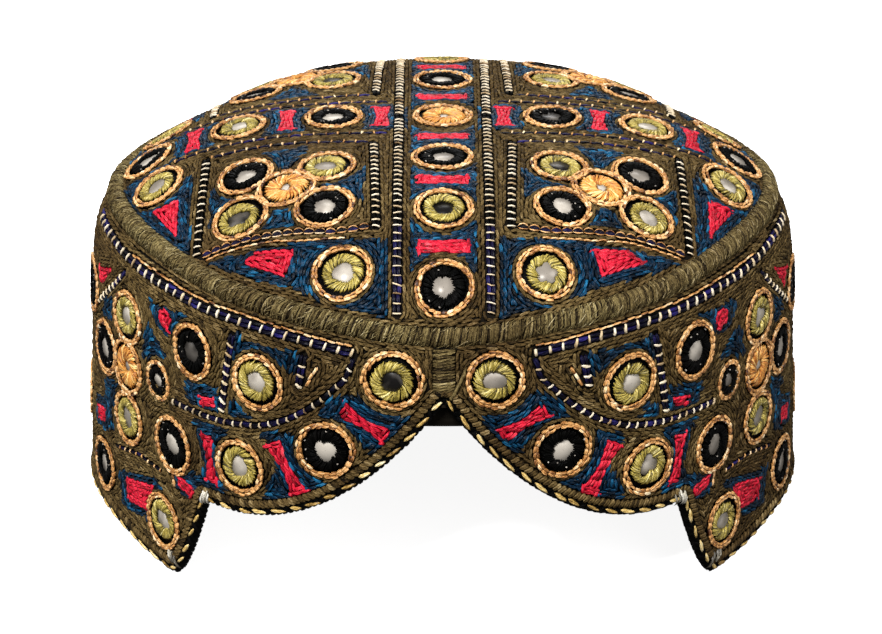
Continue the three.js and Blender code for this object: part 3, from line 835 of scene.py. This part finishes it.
# How far out the crown's rows go: to the roll, which lies further in at the sides
def rimReach(angle):
    turned = (angle + 180) % 360 - 180
    return 1.005 - 0.045 * sideShare(angle) + 0.02 * np.exp(-(turned / roll["dipReach"]) ** 2)


crownRim = crownFlat(ringPoint(ringAngles, 0, 0.0)[:, :2] * rimReach(ringAngles)[:, None])
crownLines = [(crownRim, 0.0)]
for kind, line in crownLadders:
    for copy in crownMirrored(dense(np.array(line, float))):
        crownLines.append((copy, ladderLooks[kind]["half"] + 0.25))
        sewLadder("crown", crownSurface, copy, kind, len(crownLines))
crownLines += [(closedLine(p), 0.0) for p in crownRed]
crownCircles = np.vstack([circlesAt(p, mirrors["radius"] - 0.1) for p in crownPlaces.values()])


def onCrown(flat):
    angle = np.degrees(np.arctan2(flat[:, 0] / cap["browHalfWidth"], -flat[:, 1] / cap["browHalfDepth"]))
    return crownReach(flat) < rimReach(angle)


crownFilling = fillingRows(crownCircles, crownLines, onCrown, seeds["crownRows"])
sewFilling("crown", crownSurface, crownFilling, crownBlue, crownRed)


def underRoll(angle):
    return rollCentre(angle)[:, 2] - roll["radius"] + 1.0


# The band is filled between the roll, the braid along the hem and the front seam
hemBand = 4.6
seamWidth = 6.9
seamHalf = seamWidth / 2 - 0.35
hemLine = dense(raisedEdge(0.4), 3.0)
backAcross = bandFlat([[180, 0]])[0, 0]
bandLines = [(bandFlat(np.stack([ringAngles - 180, underRoll(ringAngles - 180)], -1)), 0.0),
             (np.array([[0, 60], [0, 90.0]]), seamHalf),
             (np.array([[backAcross, 0], [backAcross, 88.0]]), 0.0),
             (np.array([[-backAcross, 0], [-backAcross, 88.0]]), 0.0)]
bandLines += [(hemLine * [s, 1], hemBand) for s in (1, -1)]
for kind, line in bandLadders:
    for copy in bandMirrored(dense(np.array(line, float), 3.0)):
        bandLines.append((copy, ladderLooks[kind]["half"] + 0.2))
        sewLadder("band", bandSurface, copy, kind, seeds["bandLadders"] + len(bandLines))
bandLines += [(closedLine(p), 0.0) for p in bandRed]
smallRadius = mirrors["radius"] * mirrors["smallSize"] - mirrors["smallIn"]
bandCircles = np.vstack([circlesAt(p, mirrors["radius"] - 0.1) for p in bandPlaces.values()]
                        + [circlesAt(smallPlaces + [0, mirrors["smallUp"]], smallRadius)])


def onBand(flat):
    angle = np.interp(flat[:, 0], acrossTable, angleTable)
    high, across = flat[:, 1], np.abs(flat[:, 0])
    return (high < underRoll(angle)) & (high > edgeHeight(angle)) & (across < backAcross)


bandFilling = fillingRows(bandCircles, bandLines, onBand, seeds["bandRows"])
sewFilling("band", bandSurface, bandFilling, bandBlue, bandRed)

roundelLooks = {
    # spokes: how many radial stitches, from and to: where they start and end, turn: their slant
    # in radians, astray: how far off the middle they lie
    "green": {"spokes": 64, "from": 5.95, "to": 2.5, "turn": 0.62, "half": 0.31, "astray": 0.6},
    "black": {"spokes": 40, "from": 6.35, "to": 2.5, "turn": 0.4, "half": 0.5, "astray": 0.25},
    "orange": {"spokes": 48, "from": 6.5, "to": 0.95, "turn": 0.9, "half": 0.4, "astray": 0.35}}


# Points of many roundels at once: centre plus radius times (cosine, sine) of a turn
def roundelFlat(centres, radius, turn):
    return centres[:, None, None] + np.stack([radius * np.cos(turn), radius * np.sin(turn)], -1)


# An uneven circle for each roundel: 1 plus a few slow waves round it
def uneven(dice, count, waves):
    parts = [(times, dice.normal(0, size, (count, 1, 1)), dice.uniform(0, 2 * np.pi, (count, 1, 1)))
             for times, size in waves]
    return lambda turn: 1 + sum(size * np.cos(times * turn + phase) for times, size, phase in parts)


# A gold chain of two strands, slanted spokes inside it, a collar that dips to the glass, and the
# flat glass itself, whose outline is the uneven hole that the spokes leave
def sewRoundels(name, surface, centres, colour, seed, scale=1.0, sunk=0.0):
    dice = np.random.default_rng(seed)
    look = roundelLooks[colour]
    count = len(centres)
    start = dice.uniform(0, 2 * np.pi, (count, 1, 1))
    size = dice.uniform(0.97, 1.03, (count, 1, 1)) * scale
    bent = uneven(dice, count, ((2, 0.018), (3, 0.012)))
    hole = uneven(dice, count, ((2, 0.11), (3, 0.09), (5, 0.06)))
    links = int(mirrors["links"] * scale)
    link = np.arange(links)[None, :, None]
    share = np.linspace(0, 1, 5)[None, None]
    for way in (1, -1):
        wobble = dice.normal(0, 0.13, (count, links, 1))
        belly = np.array([0.0, 0.28, 0.42, 0.46, 0.15])
        step = link + share * 1.45 - 0.2 + dice.normal(0, 0.06, (count, links, 1))
        turn = start + step * 2 * np.pi / links
        radius = (mirrors["ring"] + wobble + way * belly) * size * bent(turn)
        flat = roundelFlat(centres, radius, turn).reshape(-1, 5, 2)
        half = mirrors["chainHalf"] * dice.uniform(0.78, 1.15, (count * links, 1))
        stitch(name + "_gold_chain", surface, flat, np.array([0.2, 0.66, 0.8, 0.74, 0.2]) - sunk,
               half * np.array([0, 0.9, 1, 0.95, 0]), mirrors["chainHalf"] * swell,
               tones(dice, 0.45, 0.18, count * links))
    spokes = int(look["spokes"] * scale)
    spoke = np.arange(spokes)[None, :, None]
    share = np.array([0, 0.28, 0.74, 1])[None, None]
    aside = dice.uniform(0.3, 1, (count, 1)) * look["astray"] * scale
    way = dice.uniform(0, 2 * np.pi, (count, 1))
    middle = centres + aside * np.hstack([np.cos(way), np.sin(way)])
    turn = start + (spoke + dice.normal(0, 0.25, (count, spokes, 1))) * 2 * np.pi / spokes
    turn = turn + share ** 1.1 * look["turn"]
    near = (look["to"] + dice.normal(0, 0.06, (count, spokes, 1))) * hole(turn[..., -1:])
    far = look["from"] * bent(turn[..., :1]) + dice.normal(0, 0.16, (count, spokes, 1))
    flat = roundelFlat(middle, (far + (near - far) * share) * size, turn).reshape(-1, 4, 2)
    height = np.array([0.2, 0.82, 0.86, 0.5]) - sunk + dice.uniform(-0.1, 0.14, (count * spokes, 1))
    stitch(name + "_" + colour + "_spokes", surface, flat, height,
           look["half"] * dice.uniform(0.8, 1.2, (count * spokes, 1)) * np.array([0, 1.1, 0.8, 0]),
           0.42 * np.array([0, 1, 0.8, 0]), tones(dice, 0.5, 0.17, count * spokes))
    addCollars(name, surface, centres, size, sunk)
    addGlass(surface, middle, start, (look["to"] + 0.75) * scale, sunk, dice)
    if colour == "black":
        addPaintedGlints(surface, centres, size, sunk, dice)


# A round collar from the middle outwards: up over the spokes' padding and down under the chain
def addCollars(name, surface, centres, size, sunk):
    radius = np.array([0, 2.6, 3.4, 4.6, 5.6, 6.3, 6.8, 8.05])
    height = np.array([0.1, 0.1, 0.55, 0.75, 0.5, 0.0, 0.2, -0.3]) - sunk
    sides = mirrors["sides"]
    flat = roundelFlat(centres, radius[None, :, None] * size, turnsOf(sides))
    points, _ = lift(surface, flat, height[None, :, None])
    faces = gridFaces(len(radius), sides, closeColumns=True)[:, ::-1]
    addBlock(name + "_collars", points, repeated(faces, len(centres), len(radius) * sides))


# A slightly tilted flat many-cornered glass with a turned-down edge
def addGlass(surface, middle, start, radius, sunk, dice):
    count, corners = len(middle), mirrors["corners"]
    out = radius * dice.uniform(0.92, 1.08, (count, 1, corners)) * np.array([0.02, 1, 1.04])[None, :, None]
    flat = roundelFlat(middle, out, start + turnsOf(corners))
    tilt = dice.normal(0, 0.03, (count, 1, 1, 2))
    lean = ((flat - middle[:, None, None]) * tilt).sum(-1)
    points, _ = lift(surface, flat, np.array([0.6, 0.6, 0.3])[None, :, None] - sunk + lean)
    marks = np.zeros(points.shape)
    # A few glasses are marked dark, a painted reflection of something dark, and the rest pale, a painted
    # reflection of the bright room
    hasPaintedDarkReflection = dice.random((count, 1, 1)) < glassLook["paintedDarkShare"]
    marks[..., 2] = np.where(hasPaintedDarkReflection, dice.uniform(*glassLook["dark"], (count, 1, 1)),
                             dice.uniform(*glassLook["pale"], (count, 1, 1)))
    faces = gridFaces(3, corners, closeColumns=True)[:, ::-1]
    addBlock("mirror_glass", points, repeated(faces, count, 3 * corners), marks)


# Tiny mirror chips that stand off the black silk, pale grey in the glass ramp as painted glints
def addPaintedGlints(surface, centres, size, sunk, dice):
    count, paintedGlints = len(centres), mirrors["paintedGlints"]
    turn = dice.uniform(0, 2 * np.pi, (count, paintedGlints, 1)) + np.linspace(0, 0.12, 4)
    radius = dice.uniform(3.4, 6.4, (count, paintedGlints, 1)) * size + np.linspace(0, 0.3, 4)
    flat = roundelFlat(centres, radius, turn).reshape(-1, 4, 2)
    body = np.array([0, 1, 1, 0])
    stitch("mirror_chips", surface, flat, np.array([0.9, 1.25, 1.25, 0.9]) - sunk, 0.2 * body,
           0.12 * body, dice.uniform(0.55, 0.75, count * paintedGlints))


for index, colour in enumerate(roundelLooks):
    sewRoundels("crown", crownSurface, crownPlaces[colour], colour, seeds["crownRoundels"] + index)
    sewRoundels("band", bandSurface, bandPlaces[colour], colour, seeds["bandRoundels"] + index)
sewRoundels("band", bandSurface, smallPlaces, "black", seeds["smallRoundels"], mirrors["smallSize"],
            mirrors["smallSunk"])
print("roundels sewn")


# A point round the roll: its centre plus radius times (cosine out, sine up) of a turn
def rollPoint(angle, turn, radius):
    centre = rollCentre(angle)
    ahead = unit(rollCentre(angle + 0.5) - rollCentre(angle - 0.5))
    out = unit(np.cross(ahead, [0, 0, 1.0]))
    up = np.cross(out, ahead)
    spoke = out * np.cos(turn)[..., None] + up * np.sin(turn)[..., None]
    return centre + spoke * np.asarray(radius)[..., None], spoke


# A closed tube as the roll's core, then wraps from below the inner side over to below the outer
def sewRoll(seed):
    dice = np.random.default_rng(seed)
    columns, sides = 240, 14
    angle = np.linspace(0, 360, columns, endpoint=False)[:, None]
    points, _ = rollPoint(angle, turnsOf(sides)[None], roll["radius"] - 0.25)
    addBlock("roll_core", points, gridFaces(columns, sides, True, True)[:, ::-1])
    fine = np.linspace(0, 360, 2001)
    length = lengthAlong(rollCentre(fine))
    count = int(length[-1] / roll["wrapPitch"])
    at = np.interp((np.arange(count) + 0.5) / count * length[-1], length, fine)
    share = np.linspace(0, 1, 10)[None]
    slant = dice.normal(1.7, 0.35, count)[:, None]
    angle = at[:, None] + (share - 0.5) * slant + dice.normal(0, 0.15, (count, 1))
    radius = roll["radius"] - 0.2 + dice.normal(0, 0.07, (count, 1))
    path, up = rollPoint(angle, np.radians(-125 + 285 * share), radius)
    body = np.array([0, .8, 1, 1, 1, 1, 1, 1, .8, 0])
    half = roll["threadHalf"] * dice.uniform(0.85, 1.15, count)[:, None] * body
    sew("roll_wraps", path, up, half, 0.4 * body, tones(dice, 0.42, 0.15, count))
    # Short loose fibres over the outer side and crest of the wraps, lighter than they are: a painted
    # highlight on the roll's crest
    count = roll["fibres"]
    share = np.linspace(-0.5, 0.5, 4)[None]
    turn = np.radians(dice.uniform(-60, 130, (count, 1)) + share * dice.uniform(30, 60, (count, 1)))
    angle = dice.uniform(0, 360, (count, 1)) + share * dice.normal(1.2, 0.9, (count, 1))
    path, up = rollPoint(angle, turn, roll["radius"] + 0.08 + dice.uniform(0, 0.2, (count, 1)))
    body = np.array([0, 1, 1, 0])
    sew("roll_fibres", path, up, 0.13 * body, 0.16 * body, tones(dice, 0.58, 0.2, count))


# Level wraps over a narrow raised strip where the two front edges meet
def sewSeam(seed):
    dice = np.random.default_rng(seed)
    low, high = edge["apexHeight"] + 3.2, rollCentre(np.zeros(1))[0, 2] - roll["radius"] + 0.6
    heights = np.arange(low, high, 0.8)
    count = len(heights)
    share = np.linspace(-1, 1, 9)[None]
    flat = np.stack([share * seamWidth / 2 + 0 * heights[:, None],
                     heights[:, None] + share * dice.normal(0.25, 0.2, (count, 1))], -1)
    body = np.array([0, .8, 1, 1, 1, 1, 1, .8, 0])
    arch = np.array([-0.3, 0.25, 0.5, 0.6, 0.62, 0.55, 0.5, 0.25, -0.3])
    stitch("seam_wraps", bandSurface, flat, arch, 0.48 * body, 0.42 * body, tones(dice, 0.33, 0.15, count))
    # A loose cord crosses the seam on a slant
    line = bandFlat([[3.6, 79], [3.1, 76.5], [2.4, 74], [1.7, 71.6], [1.1, 69.8], [0.8, 69]])[None]
    body = np.array([0, 1, 1, 1, 1, 0])
    stitch("seam_wraps", bandSurface, line, np.array([[0.3, 0.75, 0.85, 0.85, 0.75, 0.3]]),
           0.5 * body, 0.6 * body, np.array([0.5]))


sewRoll(seeds["roll"])
sewSeam(seeds["seam"])

# The whole lower edge as one closed line, from the notch round the right side and back
halfLine = raisedEdge(1.75)
fullTurn = bandFlat([[360, 0]])[0, 0]
hemLoop = np.vstack([halfLine, ([fullTurn, 0] - halfLine * [1, -1])[::-1][1:]])
hemLook = {"pitch": 5.8, "strandAway": 0.82, "strandHalf": 0.98, "strandSides": 7, "depth": 1.0,
           "dashLength": 4.8, "dashLean": 0.5, "dashHalf": 0.55}
hemLength = lengthAlong(hemLoop)
ropeTurns = int(round(hemLength[-1] / hemLook["pitch"]))


def loopAhead(points):
    return unit(np.roll(points, -1, axis=0) - np.roll(points, 1, axis=0))


# Even steps along the rope's middle line: the place, the way out of the cloth and the way across
def ropeFrame(steps):
    flat = pointsAt(hemLoop, hemLength, np.linspace(0, hemLength[-1], steps, endpoint=False))
    centre, normal = lift(bandSurface, flat, -hemLook["depth"])
    return centre, normal, unit(np.cross(normal, loopAhead(centre)))


# Three black strands laid round each other: each runs a helix about the edge line, as a round tube
def layRope(seed):
    dice = np.random.default_rng(seed)
    steps = ropeTurns * 9
    centre, normal, side = ropeFrame(steps)
    phase = 2 * np.pi * ropeTurns * np.arange(steps) / steps
    around = turnsOf(hemLook["strandSides"])[None, :, None]
    for strand in range(3):
        turn = (phase + strand * 2 * np.pi / 3)[:, None]
        middle = centre + (normal * np.cos(turn) + side * np.sin(turn)) * hemLook["strandAway"]
        ahead = loopAhead(middle)
        out = unit(np.cross(np.cross(ahead, normal), ahead))
        right = np.cross(ahead, out)
        radius = hemLook["strandHalf"] * (1 + 0.06 * dice.normal(0, 1, steps))[:, None, None]
        points = middle[:, None] + (out[:, None] * np.cos(around) + right[:, None] * np.sin(around)) * radius
        marks = np.zeros(points.shape)
        marks[..., 0] = (np.arange(steps) * hemLength[-1] / steps)[:, None]
        marks[..., 1] = np.linspace(0, 1, hemLook["strandSides"])[None]
        marks[..., 2] = np.clip(0.45 + 0.2 * np.sin(np.arange(steps) * 0.7), 0, 1)[:, None]
        addBlock("hem_black_strands", points, gridFaces(steps, hemLook["strandSides"], True, True), marks)


# One gold stitch over the rope in each turn, long and slanted from the cloth side to the outer
# side, and a white fleck beside it
def sewDashes(seed):
    dice = np.random.default_rng(seed)
    count, each = ropeTurns, 40
    steps = count * each
    centre, normal, side = ropeFrame(steps)
    spot = (np.arange(count)[:, None] + 0.5) * each + dice.normal(0, 3.0, (count, 1))
    for piece, stations, length, lean, aside, half in (
            ("hem_gold_dashes", 7, hemLook["dashLength"], hemLook["dashLean"], -0.25, hemLook["dashHalf"]),
            ("hem_flecks", 4, 0.9, 0.3, 1.45, 0.17)):
        share = np.linspace(-1, 1, stations)[None]
        reach = length / 2 * dice.uniform(0.75, 1.15, (count, 1))
        index = np.round(spot + share * reach * steps / hemLength[-1]).astype(int) % steps
        across = aside - lean * share + dice.normal(0, 0.12, (count, 1))
        turn = np.arcsin(np.clip(across / 1.9, -0.95, 0.95))[..., None]
        up = normal[index] * np.cos(turn) + side[index] * np.sin(turn)
        body = np.minimum(1, 1.7 * (1 - np.abs(share[0]))) ** 0.6
        sew(piece, centre[index] + up * 1.62, up, half * dice.uniform(0.8, 1.15, (count, 1)) * body,
            0.42 * body, tones(dice, 0.5, 0.17, count))


# A row of plump slanted olive stitches between rope and pattern
def sewBraid(seed):
    dice = np.random.default_rng(seed)
    low, high = 2.5, 4.7
    spots, along = evenly(raisedEdge(high), 1.75)
    share = np.linspace(-1.1, 0.1, 5)[None, :, None] * (high - low)
    for way in (1, -1):
        flat = (spots[:, None] + leftOf(along)[:, None] * share + along[:, None] * share * 0.7) * [way, 1]
        stitch("hem_overcast", bandSurface, flat, np.array([-0.2, 0.3, 0.5, 0.35, -0.2]),
               0.85 * swell, 0.7 * swell, tones(dice, 0.5, 0.14, len(spots)))


# White metal thread wound over the cord in the corner beside each tip, and at the tip itself
def sewTies(seed):
    dice = np.random.default_rng(seed)
    count = 7
    for angle, low, high, lean, tone in ((40.8, 26.8, 32.0, -0.15, 0.5), (49.8, 3.0, 7.4, 0.5, 0.25)):
        for way in (1, -1):
            middle = bandFlat([[angle * way, 0]])[0, 0] + dice.normal(0, 0.8, (count, 1))
            rise = np.linspace(low, high, 5)[None] + dice.normal(0, 0.4, (count, 1))
            flat = np.stack([middle + way * lean * (rise - (low + high) / 2), rise], -1)
            stitch("hem_ties", bandSurface, flat, np.array([-0.3, 0.9, 1.3, 0.9, -0.3]),
                   0.34 * swell, 0.4 * swell, tones(dice, tone, 0.2, count))


layRope(seeds["rope"])
sewDashes(seeds["dashes"])
sewTies(seeds["ties"])
sewBraid(seeds["braid"])
print("roll, seam and hem sewn")


# A closed shell: the outer grid a little under the stitches, the same grid a wall further in
def shell(name, surface, flat, closeColumns, node):
    rowCount, columnCount = flat.shape[:2]
    outer, _ = lift(surface, flat, -clothLook["under"])
    inner, _ = lift(surface, flat, -clothLook["under"] - clothLook["wall"])
    points = np.concatenate([outer, inner[::-1]])
    faces = gridFaces(2 * rowCount, columnCount, True, closeColumns)
    if not closeColumns:
        ends = []
        for column, flip in ((0, 1), (columnCount - 1, -1)):
            r = np.arange(rowCount - 1)
            a, b = r * columnCount + column, (r + 1) * columnCount + column
            far = 2 * rowCount - 1
            c, d = (far - r - 1) * columnCount + column, (far - r) * columnCount + column
            ends.append(np.concatenate([np.stack([a, b, c], -1), np.stack([a, c, d], -1)])[:, ::flip])
        faces = np.concatenate([faces, *ends])
    marks = np.zeros(points.shape)
    marks[rowCount:, :, 2] = 1
    return makePiece(name, points.reshape(-1, 3), faces, marks.reshape(-1, 3), cloth, "lining", node)


def crownCloth():
    angle = np.linspace(0, 360, 144, endpoint=False)
    reach = np.array([0.002, .12, .25, .37, .48, .58, .67, .75, .82, .88, .93, .97, 1.0, 1.03])
    limit = np.minimum(reach[:, None], 1.03 - 0.052 * sideShare(angle)[None] + 0.002 * reach[:, None])
    plan = ringPoint(angle, 0, 0.0)[None, :, :2] * limit[..., None]
    shell("crown_cloth", crownSurface, crownFlat(plan)[::-1], True, "crown_panel")


def bandCloth():
    lower = raisedEdge(clothLook["hemInset"])
    half = np.unique(np.concatenate([np.linspace(0.02, 38, 24), np.linspace(38, 52, 70),
                                     np.linspace(52, 180, 70)]))
    angle = np.concatenate([-half[::-1], half])
    across = bandFlat(np.stack([angle, 0 * angle], -1))[:, 0]
    order = np.argsort(lower[:, 0], kind="stable")
    low = np.interp(np.abs(across), lower[order, 0], lower[order, 1])
    high = rollCentre(angle)[:, 2] - 0.5
    share = np.linspace(0, 1, 14)[:, None] ** 0.9
    flat = np.stack([across[None] + 0 * share, low[None] + (high - low)[None] * share], -1)
    shell("band_cloth", bandSurface, flat[::-1], False, "side_band")


crownCloth()
bandCloth()


# A strip of cloth behind the notch, a little puffed, with its outer face at a depth
def makeTape(name, angles, heights, depth, mark, node):
    columns, levels = 14, 12
    across = bandFlat(np.stack([np.linspace(*angles, columns), np.zeros(columns)], -1))[:, 0]
    up = np.linspace(*heights, levels)
    flat = np.stack(np.broadcast_arrays(across[None], up[:, None]), -1)
    puff = 0.35 * np.sin(np.pi * np.linspace(0, 1, levels))[:, None] ** 0.5
    outer, _ = lift(bandSurface, flat, puff - depth)
    inner, _ = lift(bandSurface, flat, -depth - 0.9)
    points = np.concatenate([outer, inner[::-1]])
    marks = np.zeros(points.shape)
    marks[..., 2] = mark
    makePiece(name, points.reshape(-1, 3), gridFaces(2 * levels, columns, True), marks.reshape(-1, 3),
              cloth, "lining", node)


# The lining's folded edge under the front seam, grey-brown, with a dark tape below it
makeTape("notch_lining_fold", (-4.4, 4.4), (64.5, 75.5), 3.9, 1.0, "notch_lining")
makeTape("notch_tape", (-4.6, 4.6), (59.9, 65.2), 3.7, 0.0, None)

# Thread or glass of a piece, its slot in the record and the solid it stands for, where these
# don't follow from the colour in its name
specialFinish = {"mirror_glass": ("glass", "mirror_glass", None),
                 "mirror_chips": ("glass", "mirror_glass", None),
                 "crown_collars": ("black", "black_thread", None),
                 "band_collars": ("black", "black_thread", None),
                 "roll_core": ("wrap", "wrapped_roll", None),
                 "roll_wraps": ("wrap", "wrapped_roll", "edge_roll"),
                 "roll_fibres": ("wrap", "wrapped_roll", None),
                 "seam_wraps": ("wrap", "wrapped_roll", "front_seam"),
                 "hem_black_strands": ("black", "hem_rope", "hem_cord"),
                 "hem_gold_dashes": ("pale", "hem_rope", None),
                 "hem_flecks": ("silver", "hem_rope", None),
                 "hem_overcast": ("olive", "braid", None),
                 "hem_ties": ("silver", "braid", None)}
for name, blocks in sewn.items():
    points, faces, marks = joined(blocks)
    colour = name.split("_")[1]
    finish, slot, node = specialFinish.get(name) or (colour, slotOf[colour], None)
    makePiece(name, points, faces, marks, threadFinish[finish], slot, node, name != "mirror_glass")
    print(name, len(faces), "triangles")

# Where the photograph was taken from, fitted to the outline and the roundels: mm and degrees
view = {"target": (-0.51, -1.33, 50.62), "azimuth": -0.18, "elevation": 25.6, "distance": 950, "lens": 134.98}


def addCamera():
    azimuth, elevation = np.radians(view["azimuth"]), np.radians(view["elevation"])
    back = np.array([np.sin(azimuth) * np.cos(elevation), -np.cos(azimuth) * np.cos(elevation),
                     np.sin(elevation)])
    data = bpy.data.cameras.new("camera")
    data.lens, data.sensor_width, data.clip_end = view["lens"], 36, 20
    camera = bpy.data.objects.new("camera", data)
    camera.location = (np.array(view["target"]) + back * view["distance"]) * 0.001
    right = np.cross(-back, [0, 0, 1])
    right /= np.linalg.norm(right)
    up = np.cross(right, -back)
    camera.rotation_euler = Matrix(np.stack([right, up, back], 1).tolist()).to_euler()
    bpy.context.scene.collection.objects.link(camera)
    bpy.context.scene.camera = camera


def addFloor():
    mesh = bpy.data.meshes.new("floor")
    mesh.from_pydata([(-6, -6, 0), (6, -6, 0), (6, 6, 0), (-6, 6, 0)], [], [(0, 1, 2, 3)])
    material, tree = newMaterial("matt white paper")
    shader = addNode(tree, "ShaderNodeBsdfPrincipled", {},
                     {"Base Color": (0.9, 0.9, 0.9, 1), "Roughness": 0.9,
                      "Emission Color": (1, 1, 1, 1), "Emission Strength": 0.9})
    closeMaterial(tree, shader)
    mesh.materials.append(material)
    floor = bpy.data.objects.new("floor", mesh)
    bpy.context.scene.collection.objects.link(floor)
    # The paper is seen but throws no light back, so the band keeps its shadow side
    floor.visible_diffuse = floor.visible_glossy = False


# A round soft light that faces the middle of the cap: place and size in metres, power in watts
def addLight(name, place, size, power):
    data = bpy.data.lights.new(name, "AREA")
    data.shape, data.size, data.energy = "DISK", size, power
    light = bpy.data.objects.new(name, data)
    light.location = place
    direction = Vector((0, 0, 0.06)) - light.location
    light.rotation_euler = direction.to_track_quat("-Z", "Y").to_euler()
    bpy.context.scene.collection.objects.link(light)


addCamera()
addFloor()
addLight("key", (-0.35, -1.0, 1.35), 0.5, 44)
addLight("fill", (0.9, -1.1, 0.7), 0.9, 5)
addLight("left side", (-1.3, 0.1, 0.7), 0.9, 7)
addLight("right side", (1.3, 0.1, 0.7), 0.9, 7)
addLight("behind", (0, 1.3, 0.8), 0.9, 7)
world = bpy.data.worlds.new("white studio")
world.use_nodes = True
backdrop = world.node_tree.nodes["Background"].inputs
backdrop["Color"].default_value, backdrop["Strength"].default_value = (1, 1, 1, 1), 0.25
bpy.context.scene.world = world
bpy.context.scene.view_settings.view_transform = "Standard"
print("camera, floor and light placed")
